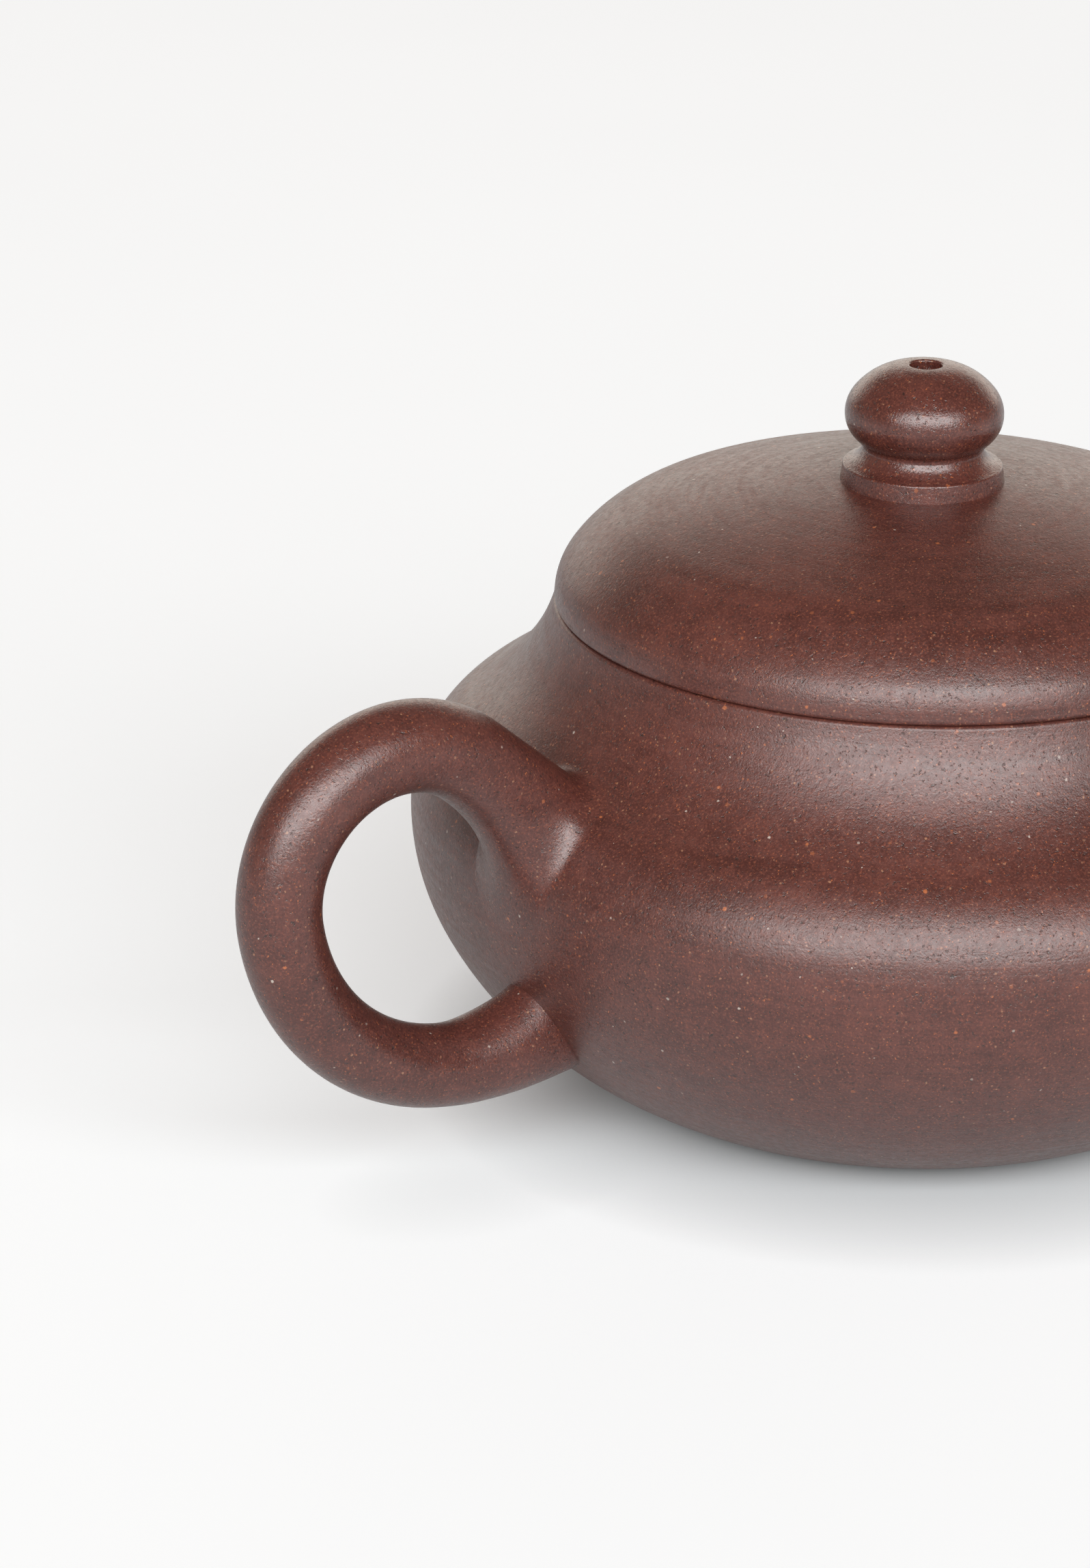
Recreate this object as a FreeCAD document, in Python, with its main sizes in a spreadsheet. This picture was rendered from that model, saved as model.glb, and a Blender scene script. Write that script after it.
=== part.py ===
import FreeCAD, Part
import math
import os
import Sketcher
from FreeCAD import Placement, Rotation, Vector

# A round clay teapot. Millimetres and degrees, +Z up. The origin is the middle of the flat base on the
# table, the spout points along +X and the handle along -X.

doc = FreeCAD.newDocument("Teapot")
sheet = doc.addObject("Spreadsheet::Sheet", "Sizes")

# Sizes of the pot wall, from the table up to the mouth. A text with an equals sign is worked out from
# the sizes before it.
SIZES = [
    ("base_radius", 25.1),
    ("equator_radius", 46.1),
    ("equator_height", 25.5),
    ("belly_arc", 21.0),
    ("lower_arc", 33.0),
    ("shoulder_arc", 10.1),
    ("neck_arc", 18.1),
    ("mouth_radius", 33.1),
    ("seam_height", 45.0),
    ("wall", 3.0),
    ("belly_joint_lift", 4.5),
    ("base_edge", 1.1),
    ("base_round", 0.6),
    ("base_disc_radius", "=base_radius - base_edge"),
    ("mouth_ring_height", 4.2),
    ("mouth_width", 6.1),
    ("mouth_bore", "=mouth_radius - mouth_width"),
    ("lip_round", 0.35),
]

# Sizes of the lid and its knob
SIZES += [
    ("lid_inset", 0.04),
    ("lid_radius", "=mouth_radius - lid_inset"),
    ("lid_rise_share", 0.35844),
    ("crown_arc_share", 2.87054),
    ("brow_arc_share", 0.38717),
    ("edge_arc_share", 0.16334),
    ("lid_rise", "=lid_radius * lid_rise_share"),
    ("crown_arc", "=lid_radius * crown_arc_share"),
    ("brow_arc", "=lid_radius * brow_arc_share"),
    ("edge_arc", "=lid_radius * edge_arc_share"),
    ("edge_lift", 0.46),
    ("lid_wall", 2.8),
    ("plate_thick", 2.4),
    ("flange_gap", 0.3),
    ("flange_wall", 2.6),
    ("flange_drop", 8.0),
    ("flange_round", 0.8),
    ("collar_foot_radius", 7.7),
    ("collar_radius", 7.2),
    ("collar_rise", 1.3),
    ("collar_round", 0.25),
    ("waist_radius", 5.45),
    ("waist_rise", 1.9),
    ("bead_radius", 7.15),
    ("bead_lower_rise", 2.75),
    ("bead_side_arc", 3.4),
    ("bead_upper_rise", 4.52),
    ("vent_radius", 1.45),
    ("vent_round", 0.2),
]

# Sizes of the handle: a straight upper run, two arcs and a straight lower run. It is placed from the
# widest ring of the belly, the equator, and stands lower the wider the mouth is.
SIZES += [
    ("handle_reach", 11.65),
    ("handle_lift", 19.4),
    ("handle_lift_share", 0.42),
    ("handle_out", "=equator_radius + handle_reach"),
    ("handle_height", "=equator_height + handle_lift - mouth_radius * handle_lift_share"),
    ("handle_upper_arc", 12.1),
    ("handle_lower_arc", 20.3),
    ("handle_slope", 40.0),
    ("handle_turn", 10.0),
    ("handle_upper_run", 14.0),
    ("handle_lower_run", 13.0),
    ("handle_top_radius", 4.1),
    ("handle_side_radius", 3.7),
    ("handle_heel_radius", 4.0),
    ("handle_foot_radius", 6.6),
    ("handle_foot_lift", 2.7),
    ("handle_upper_blend", 3.5),
]

# Sizes of the spout: four rings from the belly to the level tip, and the strainer behind it. The rings
# are placed from the equator, the tip stands a little above the seam of the lid, and the bend and the
# neck stand at shares of the rise to it.
SIZES += [
    ("spout_tip_lift", 0.5),
    ("spout_tip_height", "=seam_height + spout_tip_lift"),
    ("spout_rise", "=spout_tip_height - equator_height"),
    ("spout_root_depth", 13.1),
    ("spout_root_drop", 6.5),
    ("spout_root_out", "=equator_radius - spout_root_depth"),
    ("spout_root_height", "=equator_height - spout_root_drop"),
    ("spout_root_slope", 12.0),
    ("spout_root_radius", 9.8),
    ("spout_bend_reach", 6.4),
    ("spout_bend_share", 0.05),
    ("spout_bend_out", "=equator_radius + spout_bend_reach"),
    ("spout_bend_height", "=equator_height + spout_rise * spout_bend_share"),
    ("spout_bend_slope", 38.0),
    ("spout_bend_radius", 7.3),
    ("spout_neck_reach", 16.3),
    ("spout_neck_share", 0.525),
    ("spout_neck_out", "=equator_radius + spout_neck_reach"),
    ("spout_neck_height", "=equator_height + spout_rise * spout_neck_share"),
    ("spout_neck_slope", 54.0),
    ("spout_neck_radius", 5.4),
    ("spout_tip_reach", 22.3),
    ("spout_tip_out", "=equator_radius + spout_tip_reach"),
    ("spout_tip_radius", 5.2),
    ("spout_wall", 1.5),
    ("spout_lip_round", 0.4),
    ("spout_blend", 3.0),
    ("strainer_drop", 3.5),
    ("strainer_height", "=equator_height - strainer_drop"),
    ("strainer_ring", 4.4),
    ("strainer_hole", 1.2),
]
STRAINER_HOLES = 6

for row, (name, value) in enumerate(SIZES, start=1):
    sheet.set("A%d" % row, name)
    sheet.set("B%d" % row, str(value))
    sheet.setAlias("B%d" % row, name)
doc.recompute()

NAMES = [name for name, value in SIZES]


def cells(text):
    """A sum of sizes written for a binding: every name gets the sheet's name in front of it."""
    return " ".join("Sizes." + word if word in NAMES else word for word in text.split())


def size(text):
    """The value of a size, or of a sum of sizes, as a plain number."""
    return float(sheet.evalExpression(cells(text)))


def origin_plane(body, role):
    """One of a body's own three origin planes."""
    return [plane for plane in body.Origin.OriginFeatures if plane.Role == role][0]


def new_body(name):
    """A named body for one clay piece."""
    body = doc.addObject("PartDesign::Body", name)
    body.Label = name
    return body


def meet(centre, reach, point, radius, side):
    """Where a circle about one point crosses a circle about another; side picks one of the two."""
    gap = point - centre
    along = (gap.dot(gap) + reach ** 2 - radius ** 2) / (2 * gap.Length)
    across = math.sqrt(reach ** 2 - along ** 2)
    step = gap / gap.Length
    return centre + step * along + Vector(-step.y, step.x, 0) * across * side


class Outline:
    """A sketch on a body's own plane, with its points and radii bound to the sheet."""

    def __init__(self, body, name, role="YZ_Plane"):
        self.sketch = body.newObject("Sketcher::SketchObject", name)
        self.sketch.AttachmentSupport = [(origin_plane(body, role), "")]
        self.sketch.MapMode = "FlatFace"

    def line(self, first, last):
        return self.sketch.addGeometry(Part.LineSegment(first, last))

    def arc(self, centre, radius, first, last):
        """An arc that runs anticlockwise from the direction of one point to that of another."""
        begin = math.atan2(first.y - centre.y, first.x - centre.x)
        end = math.atan2(last.y - centre.y, last.x - centre.x)
        circle = Part.Circle(centre, Vector(0, 0, 1), radius)
        return self.sketch.addGeometry(Part.ArcOfCircle(circle, begin, end))

    def circle(self, centre, radius, guide=False):
        return self.sketch.addGeometry(Part.Circle(centre, Vector(0, 0, 1), radius), guide)

    def tie(self, kind, *where):
        return self.sketch.addConstraint(Sketcher.Constraint(kind, *where))

    def bind(self, kind, *where):
        """A dimension whose last entry is a sum of sizes."""
        text = cells(where[-1])
        index = self.tie(kind, *where[:-1], size(where[-1]))
        self.sketch.setExpression("Constraints[%d]" % index, text)

    def hold(self, shape, end, out=None, up=None):
        """Fix a point's distance from the axis and its height."""
        if out == "0":
            self.tie("PointOnObject", shape, end, -2)
        elif out:
            self.bind("DistanceX", -1, 1, shape, end, out)
        if up == "0":
            self.tie("PointOnObject", shape, end, -1)
        elif up:
            self.bind("DistanceY", -1, 1, shape, end, up)

    def loop(self, *corners):
        """A closed outline of straight edges through corners given as sums of sizes."""
        points = [Vector(size(out), size(up), 0) for out, up in corners]
        edges = []
        for first, last in zip(points, points[1:] + points[:1]):
            edges.append(self.line(first, last))
        for before, after, corner in zip(edges[-1:] + edges, edges, corners):
            self.tie("Coincident", before, 2, after, 1)
            self.hold(after, 1, *corner)
        return self.sketch


def turned(body, sketch, name, kind="Revolution"):
    """A sketch turned once about the pot's axis, added to the body or cut from it."""
    feature = body.newObject("PartDesign::" + kind, name)
    feature.Profile = sketch
    feature.ReferenceAxis = (sketch, ["V_Axis"])
    feature.Angle = 360
    doc.recompute()
    return feature


def pot_outline(body, name, top):
    """Half the pot's section: lower, belly, shoulder and hollow neck arcs, closed along the axis.

    The arcs always aim at the outer edge of the mouth; top is the height where this piece stops.
    """
    outline = Outline(body, name)
    base = Vector(size("base_radius"), 0, 0)
    equator = Vector(size("equator_radius"), size("equator_height"), 0)
    mouth = Vector(size("mouth_radius"), size("seam_height"), 0)
    lower_arc = size("lower_arc")
    belly_arc = size("belly_arc")
    shoulder_arc = size("shoulder_arc")
    neck_arc = size("neck_arc")
    belly_middle = equator - Vector(belly_arc, 0, 0)
    shoulder_middle = equator - Vector(shoulder_arc, 0, 0)
    lower_middle = meet(belly_middle, lower_arc - belly_arc, base, lower_arc, -1)
    neck_middle = meet(shoulder_middle, shoulder_arc + neck_arc, mouth, neck_arc, -1)
    hip = belly_middle + (belly_middle - lower_middle) * (belly_arc / (lower_arc - belly_arc))
    dip = shoulder_middle + (neck_middle - shoulder_middle) * (shoulder_arc / (shoulder_arc + neck_arc))
    stop = size(top)
    end = Vector(neck_middle.x - math.sqrt(neck_arc ** 2 - (neck_middle.y - stop) ** 2), stop, 0)
    lower = outline.arc(lower_middle, lower_arc, base, hip)
    belly = outline.arc(belly_middle, belly_arc, hip, equator)
    shoulder = outline.arc(shoulder_middle, shoulder_arc, equator, dip)
    neck = outline.arc(neck_middle, neck_arc, end, dip)
    outline.tie("Tangent", lower, 2, belly, 1)
    outline.tie("Tangent", belly, 2, shoulder, 1)
    outline.tie("Tangent", shoulder, 2, neck, 2)
    outline.bind("Radius", lower, "lower_arc")
    outline.bind("Radius", belly, "belly_arc")
    outline.bind("Radius", shoulder, "shoulder_arc")
    outline.bind("Radius", neck, "neck_arc")
    outline.hold(belly, 2, "equator_radius", "equator_height")
    outline.hold(belly, 3, None, "equator_height")
    outline.hold(lower, 1, "base_radius", "0")
    outline.hold(neck, 1, None, top)
    aim = outline.sketch.addGeometry(Part.Point(mouth), True)
    outline.hold(aim, 1, "mouth_radius", "seam_height")
    outline.tie("PointOnObject", aim, 1, neck)
    roof = outline.line(end, Vector(0, stop, 0))
    axis = outline.line(Vector(0, stop, 0), Vector(0, 0, 0))
    floor = outline.line(Vector(0, 0, 0), base)
    outline.tie("Coincident", neck, 1, roof, 1)
    outline.tie("Coincident", roof, 2, axis, 1)
    outline.tie("Coincident", axis, 2, floor, 1)
    outline.tie("Coincident", floor, 2, lower, 1)
    outline.hold(roof, 2, "0", top)
    outline.hold(axis, 2, "0", "0")
    return outline.sketch


def flat_face(feature, height):
    """The name of a feature's level face at a given height."""
    for number, face in enumerate(feature.Shape.Faces, start=1):
        level = isinstance(face.Surface, Part.Plane)
        if level and abs(face.CenterOfMass.z - height) < 1e-4:
            return "Face%d" % number
    raise RuntimeError("no level face at %.3f" % height)


def hollowed(body, feature, height, thickness):
    """A feature made into a shell that is open at one level face."""
    shell = body.newObject("PartDesign::Thickness", body.Name + "_shell")
    shell.Base = (feature, [flat_face(feature, height)])
    shell.Mode = 0
    shell.Join = 1
    shell.Reversed = True
    shell.setExpression("Value", cells(thickness))
    doc.recompute()
    return shell


def bored(body, name, radius):
    """A round hole right through a piece along the pot's axis."""
    outline = Outline(body, name + "_sketch", "XY_Plane")
    ring = outline.circle(Vector(0, 0, 0), size(radius))
    outline.tie("Coincident", ring, 3, -1, 1)
    outline.bind("Radius", ring, radius)
    hole = body.newObject("PartDesign::Pocket", name)
    hole.Profile = outline.sketch
    hole.Type = 1
    hole.Midplane = True
    doc.recompute()
    return hole


def ring_edges(feature, radius, height):
    """The names of the level round edges of a given radius at a given height."""
    names = []
    for number, edge in enumerate(feature.Shape.Edges, start=1):
        if not isinstance(edge.Curve, Part.Circle):
            continue
        middle_point = edge.Curve.Center
        if abs(edge.Curve.Radius - radius) < 1e-3 and abs(middle_point.z - height) < 1e-3:
            names.append("Edge%d" % number)
    return names


def level_edges(feature, height):
    """The names of all the edges that lie level at a given height."""
    names = []
    for number, edge in enumerate(feature.Shape.Edges, start=1):
        first, last = edge.ParameterRange
        points = [edge.valueAt(first + (last - first) * part) for part in (0.0, 0.3, 0.7)]
        if max(abs(point.z - height) for point in points) < 1e-3:
            names.append("Edge%d" % number)
    return names


def rounded(body, name, edges, radius):
    """A fillet along named edges of the body's last feature."""
    base = body.Tip
    fillet = body.newObject("PartDesign::Fillet", name)
    fillet.Base = (base, edges)
    fillet.setExpression("Radius", cells(radius))
    doc.recompute()
    return fillet


# Base disc: the flat slab in the middle of the floor, as thick as the wall
base_disc = new_body("base_disc")
disc = Outline(base_disc, "disc_sketch", "XY_Plane")
rim = disc.circle(Vector(0, 0, 0), size("base_disc_radius"))
disc.tie("Coincident", rim, 3, -1, 1)
disc.bind("Radius", rim, "base_disc_radius")
slab = base_disc.newObject("PartDesign::Pad", "slab")
slab.Profile = disc.sketch
slab.setExpression("Length", "Sizes.wall")

neck_joint = "seam_height - mouth_ring_height"
belly_joint = "equator_height + belly_joint_lift"


def cut_between(body, name, low, high):
    """Everything between two heights cut from a body, out past the pot's wall."""
    band = Outline(body, name + "_sketch")
    band.loop(
        ("0", low),
        ("equator_radius + wall", low),
        ("equator_radius + wall", high),
        ("0", high),
    )
    return turned(body, band.sketch, name, "Groove")


def shell_of_pot(body):
    """The turned outline up to the mouth ring, hollowed from above."""
    form = turned(body, pot_outline(body, body.Name + "_outline", neck_joint), body.Name + "_form")
    return hollowed(body, form, size(neck_joint), "wall")


# Shoulder wall: the upper part of the turned outline, which closes in from the belly to the mouth ring
shoulder_wall = new_body("shoulder_wall")
shell_of_pot(shoulder_wall)
cut_between(shoulder_wall, "shoulder_cut", "0", belly_joint)

# Belly wall: the lower bowl of the turned outline, with the base disc's seat, a rounded base and the
# strainer holes
belly_wall = new_body("belly_wall")
shell_of_pot(belly_wall)
cut_between(belly_wall, "belly_cut", belly_joint, "seam_height")
bored(belly_wall, "base_seat", "base_disc_radius")
rounded(belly_wall, "base_rim", ring_edges(belly_wall.Tip, size("base_radius"), 0), "base_round")

holes = Outline(belly_wall, "strainer_sketch", "YZ_Plane")
holes.sketch.setExpression("AttachmentOffset.Base.y", "Sizes.strainer_height")
middle = holes.circle(Vector(0, 0, 0), size("strainer_hole"))
holes.tie("Coincident", middle, 3, -1, 1)
holes.bind("Radius", middle, "strainer_hole")
middle_hole = belly_wall.newObject("PartDesign::Pocket", "strainer_middle")
middle_hole.Profile = holes.sketch
middle_hole.Reversed = True
middle_hole.setExpression("Length", "Sizes.equator_radius + Sizes.wall")
doc.recompute()

around = Outline(belly_wall, "strainer_ring_sketch", "YZ_Plane")
around.sketch.setExpression("AttachmentOffset.Base.y", "Sizes.strainer_height")
outer = around.circle(Vector(0, size("strainer_ring"), 0), size("strainer_hole"))
around.tie("PointOnObject", outer, 3, -2)
around.bind("DistanceY", -1, 1, outer, 3, "strainer_ring")
around.bind("Radius", outer, "strainer_hole")
outer_hole = belly_wall.newObject("PartDesign::Pocket", "strainer_outer")
outer_hole.Profile = around.sketch
outer_hole.Reversed = True
outer_hole.setExpression("Length", "Sizes.equator_radius + Sizes.wall")
doc.recompute()

ring_of_holes = belly_wall.newObject("PartDesign::PolarPattern", "strainer_holes")
ring_of_holes.Originals = [outer_hole]
ring_of_holes.Axis = (around.sketch, ["N_Axis"])
ring_of_holes.Angle = 360
ring_of_holes.Occurrences = STRAINER_HOLES
belly_wall.Tip = ring_of_holes
doc.recompute()

# Mouth ring: the neck arc outside, a plain bore inside and a flat top for the lid
mouth_ring = new_body("mouth_ring")
turned(mouth_ring, pot_outline(mouth_ring, "ring_outline", "seam_height"), "ring_form")
cut_between(mouth_ring, "ring_cut", "0", neck_joint)
bored(mouth_ring, "mouth_hole", "mouth_bore")


lip = ring_edges(mouth_ring.Tip, size("mouth_radius"), size("seam_height"))
lip += ring_edges(mouth_ring.Tip, size("mouth_bore"), size("seam_height"))
rounded(mouth_ring, "lip", lip, "lip_round")


def lid_outline(body, name, bottom):
    """Half the lid's section from the crown over the brow to the edge, closed along the axis."""
    outline = Outline(body, name)
    crown_arc = size("crown_arc")
    brow_arc = size("brow_arc")
    edge_arc = size("edge_arc")
    stop = size(bottom)
    apex = Vector(0, size("seam_height + lid_rise"), 0)
    crown_middle = apex - Vector(0, crown_arc, 0)
    edge_middle = Vector(size("lid_radius") - edge_arc, size("seam_height + edge_lift"), 0)
    brow_middle = meet(crown_middle, crown_arc - brow_arc, edge_middle, brow_arc - edge_arc, 1)
    high = brow_middle + (brow_middle - crown_middle) * (brow_arc / (crown_arc - brow_arc))
    low = edge_middle + (edge_middle - brow_middle) * (edge_arc / (brow_arc - edge_arc))
    end = Vector(edge_middle.x + math.sqrt(edge_arc ** 2 - (stop - edge_middle.y) ** 2), stop, 0)
    crown = outline.arc(crown_middle, crown_arc, high, apex)
    brow = outline.arc(brow_middle, brow_arc, low, high)
    edge = outline.arc(edge_middle, edge_arc, end, low)
    outline.tie("Tangent", brow, 2, crown, 1)
    outline.tie("Tangent", edge, 2, brow, 1)
    outline.bind("Radius", crown, "crown_arc")
    outline.bind("Radius", brow, "brow_arc")
    outline.bind("Radius", edge, "edge_arc")
    outline.hold(crown, 2, "0", "seam_height + lid_rise")
    outline.hold(crown, 3, "0")
    outline.hold(edge, 3, "lid_radius - edge_arc", "seam_height + edge_lift")
    outline.hold(edge, 1, None, bottom)
    axis = outline.line(apex, Vector(0, stop, 0))
    floor = outline.line(Vector(0, stop, 0), end)
    outline.tie("Coincident", crown, 2, axis, 1)
    outline.tie("Coincident", axis, 2, floor, 1)
    outline.tie("Coincident", floor, 2, edge, 1)
    outline.hold(axis, 2, "0", bottom)
    return outline.sketch


def dome_hollow(body, name, bottom):
    """The hollow of the dome: the crown and the brow set in by the lid's wall, down to a level."""
    outline = Outline(body, name)
    crown_arc = size("crown_arc")
    brow_arc = size("brow_arc")
    edge_arc = size("edge_arc")
    inset = size("lid_wall")
    stop = size(bottom)
    apex = Vector(0, size("seam_height + lid_rise"), 0)
    crown_middle = apex - Vector(0, crown_arc, 0)
    edge_middle = Vector(size("lid_radius") - edge_arc, size("seam_height + edge_lift"), 0)
    brow_middle = meet(crown_middle, crown_arc - brow_arc, edge_middle, brow_arc - edge_arc, 1)
    high = brow_middle + (brow_middle - crown_middle) * ((brow_arc - inset) / (crown_arc - brow_arc))
    reach = math.sqrt((brow_arc - inset) ** 2 - (stop - brow_middle.y) ** 2)
    end = Vector(brow_middle.x + reach, stop, 0)
    top_point = apex - Vector(0, inset, 0)
    crown = outline.arc(crown_middle, crown_arc - inset, high, top_point)
    brow = outline.arc(brow_middle, brow_arc - inset, end, high)
    spoke = outline.sketch.addGeometry(Part.LineSegment(crown_middle, brow_middle), True)
    edge = outline.sketch.addGeometry(Part.Point(edge_middle), True)
    outline.bind("Radius", crown, "crown_arc - lid_wall")
    outline.hold(crown, 2, "0", "seam_height + lid_rise - lid_wall")
    outline.hold(crown, 3, "0")
    outline.hold(edge, 1, "lid_radius - edge_arc", "seam_height + edge_lift")
    outline.tie("Coincident", spoke, 1, crown, 3)
    outline.tie("Coincident", spoke, 2, brow, 3)
    outline.bind("Distance", spoke, "crown_arc - brow_arc")
    outline.bind("Distance", brow, 3, edge, 1, "brow_arc - edge_arc")
    outline.tie("PointOnObject", crown, 1, spoke)
    outline.tie("Coincident", crown, 1, brow, 2)
    outline.hold(brow, 1, None, bottom)
    axis = outline.line(top_point, Vector(0, stop, 0))
    floor = outline.line(Vector(0, stop, 0), end)
    outline.tie("Coincident", crown, 2, axis, 1)
    outline.tie("Coincident", axis, 2, floor, 1)
    outline.tie("Coincident", floor, 2, brow, 1)
    outline.hold(axis, 2, "0", bottom)
    return outline.sketch


# Lid plate: the flat ring that rests on the mouth ring, its rim part of the lid's rounded edge
flange_radius = "mouth_bore - flange_gap"
flange_bore = "mouth_bore - flange_gap - flange_wall"
plate_top = "seam_height + plate_thick"
lid_plate = new_body("lid_plate")
turned(lid_plate, lid_outline(lid_plate, "plate_outline", "seam_height"), "plate_form")
above = Outline(lid_plate, "plate_above")
above.loop(
    ("0", plate_top),
    ("lid_radius + wall", plate_top),
    ("lid_radius + wall", "seam_height + lid_rise + wall"),
    ("0", "seam_height + lid_rise + wall"),
)
turned(lid_plate, above.sketch, "plate_cut", "Groove")
bored(lid_plate, "plate_hole", flange_bore)

# Lid dome: the turned outline above the plate, hollowed from below and pierced for the vent
lid_dome = new_body("lid_dome")
turned(lid_dome, lid_outline(lid_dome, "dome_outline", plate_top), "dome_form")
turned(lid_dome, dome_hollow(lid_dome, "dome_inside", plate_top), "dome_hollow", "Groove")
bored(lid_dome, "dome_vent", "vent_radius")

# Lid flange: the upright ring that keeps the lid in the mouth, eased along its lower edge
lid_flange = new_body("lid_flange")
flange_foot = "seam_height - flange_drop"
ring = Outline(lid_flange, "flange_outline")
ring.loop(
    (flange_bore, flange_foot),
    (flange_radius, flange_foot),
    (flange_radius, "seam_height"),
    (flange_bore, "seam_height"),
)
turned(lid_flange, ring.sketch, "flange_form")
foot = ring_edges(lid_flange.Tip, size(flange_radius), size(flange_foot))
foot += ring_edges(lid_flange.Tip, size(flange_bore), size(flange_foot))
rounded(lid_flange, "flange_foot", foot, "flange_round")

# Knob collar: a flared foot whose underside follows the crown of the lid
apex_height = "seam_height + lid_rise"
collar_edge = "seam_height + lid_rise + collar_rise"
waist_height = "seam_height + lid_rise + collar_rise + waist_rise"
knob_collar = new_body("knob_collar")
collar = Outline(knob_collar, "collar_outline")
crown_radius = size("crown_arc")
crown_centre = Vector(0, size(apex_height) - crown_radius, 0)


def on_crown(out):
    """The point of the lid's crown at a distance from the axis."""
    return Vector(out, crown_centre.y + math.sqrt(crown_radius ** 2 - out ** 2), 0)


inner_low = on_crown(size("vent_radius"))
outer_low = on_crown(size("collar_foot_radius"))
edge_point = Vector(size("collar_radius"), size(collar_edge), 0)
waist_point = Vector(size("waist_radius"), size(waist_height), 0)
run = edge_point.x - waist_point.x
drop = waist_point.y - edge_point.y
flare_radius = (run ** 2 + drop ** 2) / (2 * run)
flare_middle = waist_point + Vector(flare_radius, 0, 0)
under = collar.arc(crown_centre, crown_radius, outer_low, inner_low)
side = collar.line(outer_low, edge_point)
flare = collar.arc(flare_middle, flare_radius, waist_point, edge_point)
top = collar.line(waist_point, Vector(inner_low.x, waist_point.y, 0))
bore = collar.line(Vector(inner_low.x, waist_point.y, 0), inner_low)
collar.tie("Coincident", under, 1, side, 1)
collar.tie("Coincident", side, 2, flare, 2)
collar.tie("Coincident", flare, 1, top, 1)
collar.tie("Coincident", top, 2, bore, 1)
collar.tie("Coincident", bore, 2, under, 2)
collar.hold(under, 3, "0")
collar.bind("Radius", under, "crown_arc")
crest = collar.sketch.addGeometry(Part.Point(Vector(0, size(apex_height), 0)), True)
collar.hold(crest, 1, "0", apex_height)
collar.tie("PointOnObject", crest, 1, under)
collar.hold(under, 1, "collar_foot_radius")
collar.hold(under, 2, "vent_radius")
collar.hold(side, 2, "collar_radius", collar_edge)
collar.hold(flare, 1, "waist_radius", waist_height)
collar.hold(flare, 3, None, waist_height)
collar.hold(top, 2, "vent_radius", waist_height)
turned(knob_collar, collar.sketch, "collar_form")
rounded(
    knob_collar,
    "collar_edge",
    ring_edges(knob_collar.Tip, size("collar_radius"), size(collar_edge)),
    "collar_round",
)

# Knob: a bead with one arc below its widest ring and two above it, flat where it sits on the collar. The
# last arc lies level at the rim of the vent.
bead_equator = waist_height + " + bead_lower_rise"
bead_top = waist_height + " + bead_lower_rise + bead_upper_rise"
knob = new_body("knob")
bead = Outline(knob, "bead_outline")
wide = Vector(size("bead_radius"), size(bead_equator), 0)
hole_rim = Vector(size("vent_radius"), size(bead_top), 0)


inward = wide.x - waist_point.x
lower_rise = wide.y - waist_point.y
lower_bulge = (inward ** 2 + lower_rise ** 2) / (2 * inward)
side_arc = size("bead_side_arc")
side_middle = wide - Vector(side_arc, 0, 0)
upper_rise = size("bead_upper_rise")
across = side_middle.x - hole_rim.x
top_arc = (across ** 2 + upper_rise ** 2 - side_arc ** 2) / (2 * (upper_rise - side_arc))
top_middle = hole_rim - Vector(0, top_arc, 0)
shoulder_point = side_middle + (side_middle - top_middle) * (side_arc / (top_arc - side_arc))
under = bead.arc(wide - Vector(lower_bulge, 0, 0), lower_bulge, waist_point, wide)
side = bead.arc(side_middle, side_arc, wide, shoulder_point)
over = bead.arc(top_middle, top_arc, shoulder_point, hole_rim)
bore = bead.line(hole_rim, Vector(hole_rim.x, waist_point.y, 0))
seat = bead.line(Vector(hole_rim.x, waist_point.y, 0), waist_point)
bead.tie("Tangent", under, 2, side, 1)
bead.tie("Tangent", side, 2, over, 1)
bead.tie("Coincident", over, 2, bore, 1)
bead.tie("Coincident", bore, 2, seat, 1)
bead.tie("Coincident", seat, 2, under, 1)
bead.bind("Radius", side, "bead_side_arc")
bead.hold(under, 2, "bead_radius", bead_equator)
bead.hold(under, 3, None, bead_equator)
bead.hold(under, 1, "waist_radius", waist_height)
bead.hold(over, 2, "vent_radius", bead_top)
bead.hold(over, 3, "vent_radius")
bead.hold(bore, 2, "vent_radius", waist_height)
turned(knob, bead.sketch, "bead_form")
rounded(knob, "vent_rim", ring_edges(knob.Tip, size("vent_radius"), size(bead_top)), "vent_round")


def section(body, name, out, up, slope, radius):
    """A round section square to a path in the XZ plane, at a place and slope given by the sheet."""
    ring_sketch = Outline(body, name, "YZ_Plane")
    ring_sketch.sketch.AttachmentOffset = Placement(
        Vector(0, size(up), size(out)),
        Rotation(Vector(-1, 0, 0), size(slope)),
    )
    ring_sketch.sketch.setExpression("AttachmentOffset.Base.y", cells(up))
    ring_sketch.sketch.setExpression("AttachmentOffset.Base.z", cells(out))
    ring_sketch.sketch.setExpression("AttachmentOffset.Rotation.Angle", cells(slope))
    circle = ring_sketch.circle(Vector(0, 0, 0), size(radius))
    ring_sketch.tie("Coincident", circle, 3, -1, 1)
    ring_sketch.bind("Radius", circle, radius)
    return ring_sketch.sketch


# Handle: a round rod along its path, blended into the pot's form, which is then cut away again
handle = new_body("handle")
turned(handle, pot_outline(handle, "handle_pot", "seam_height"), "handle_pot_form")

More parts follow.
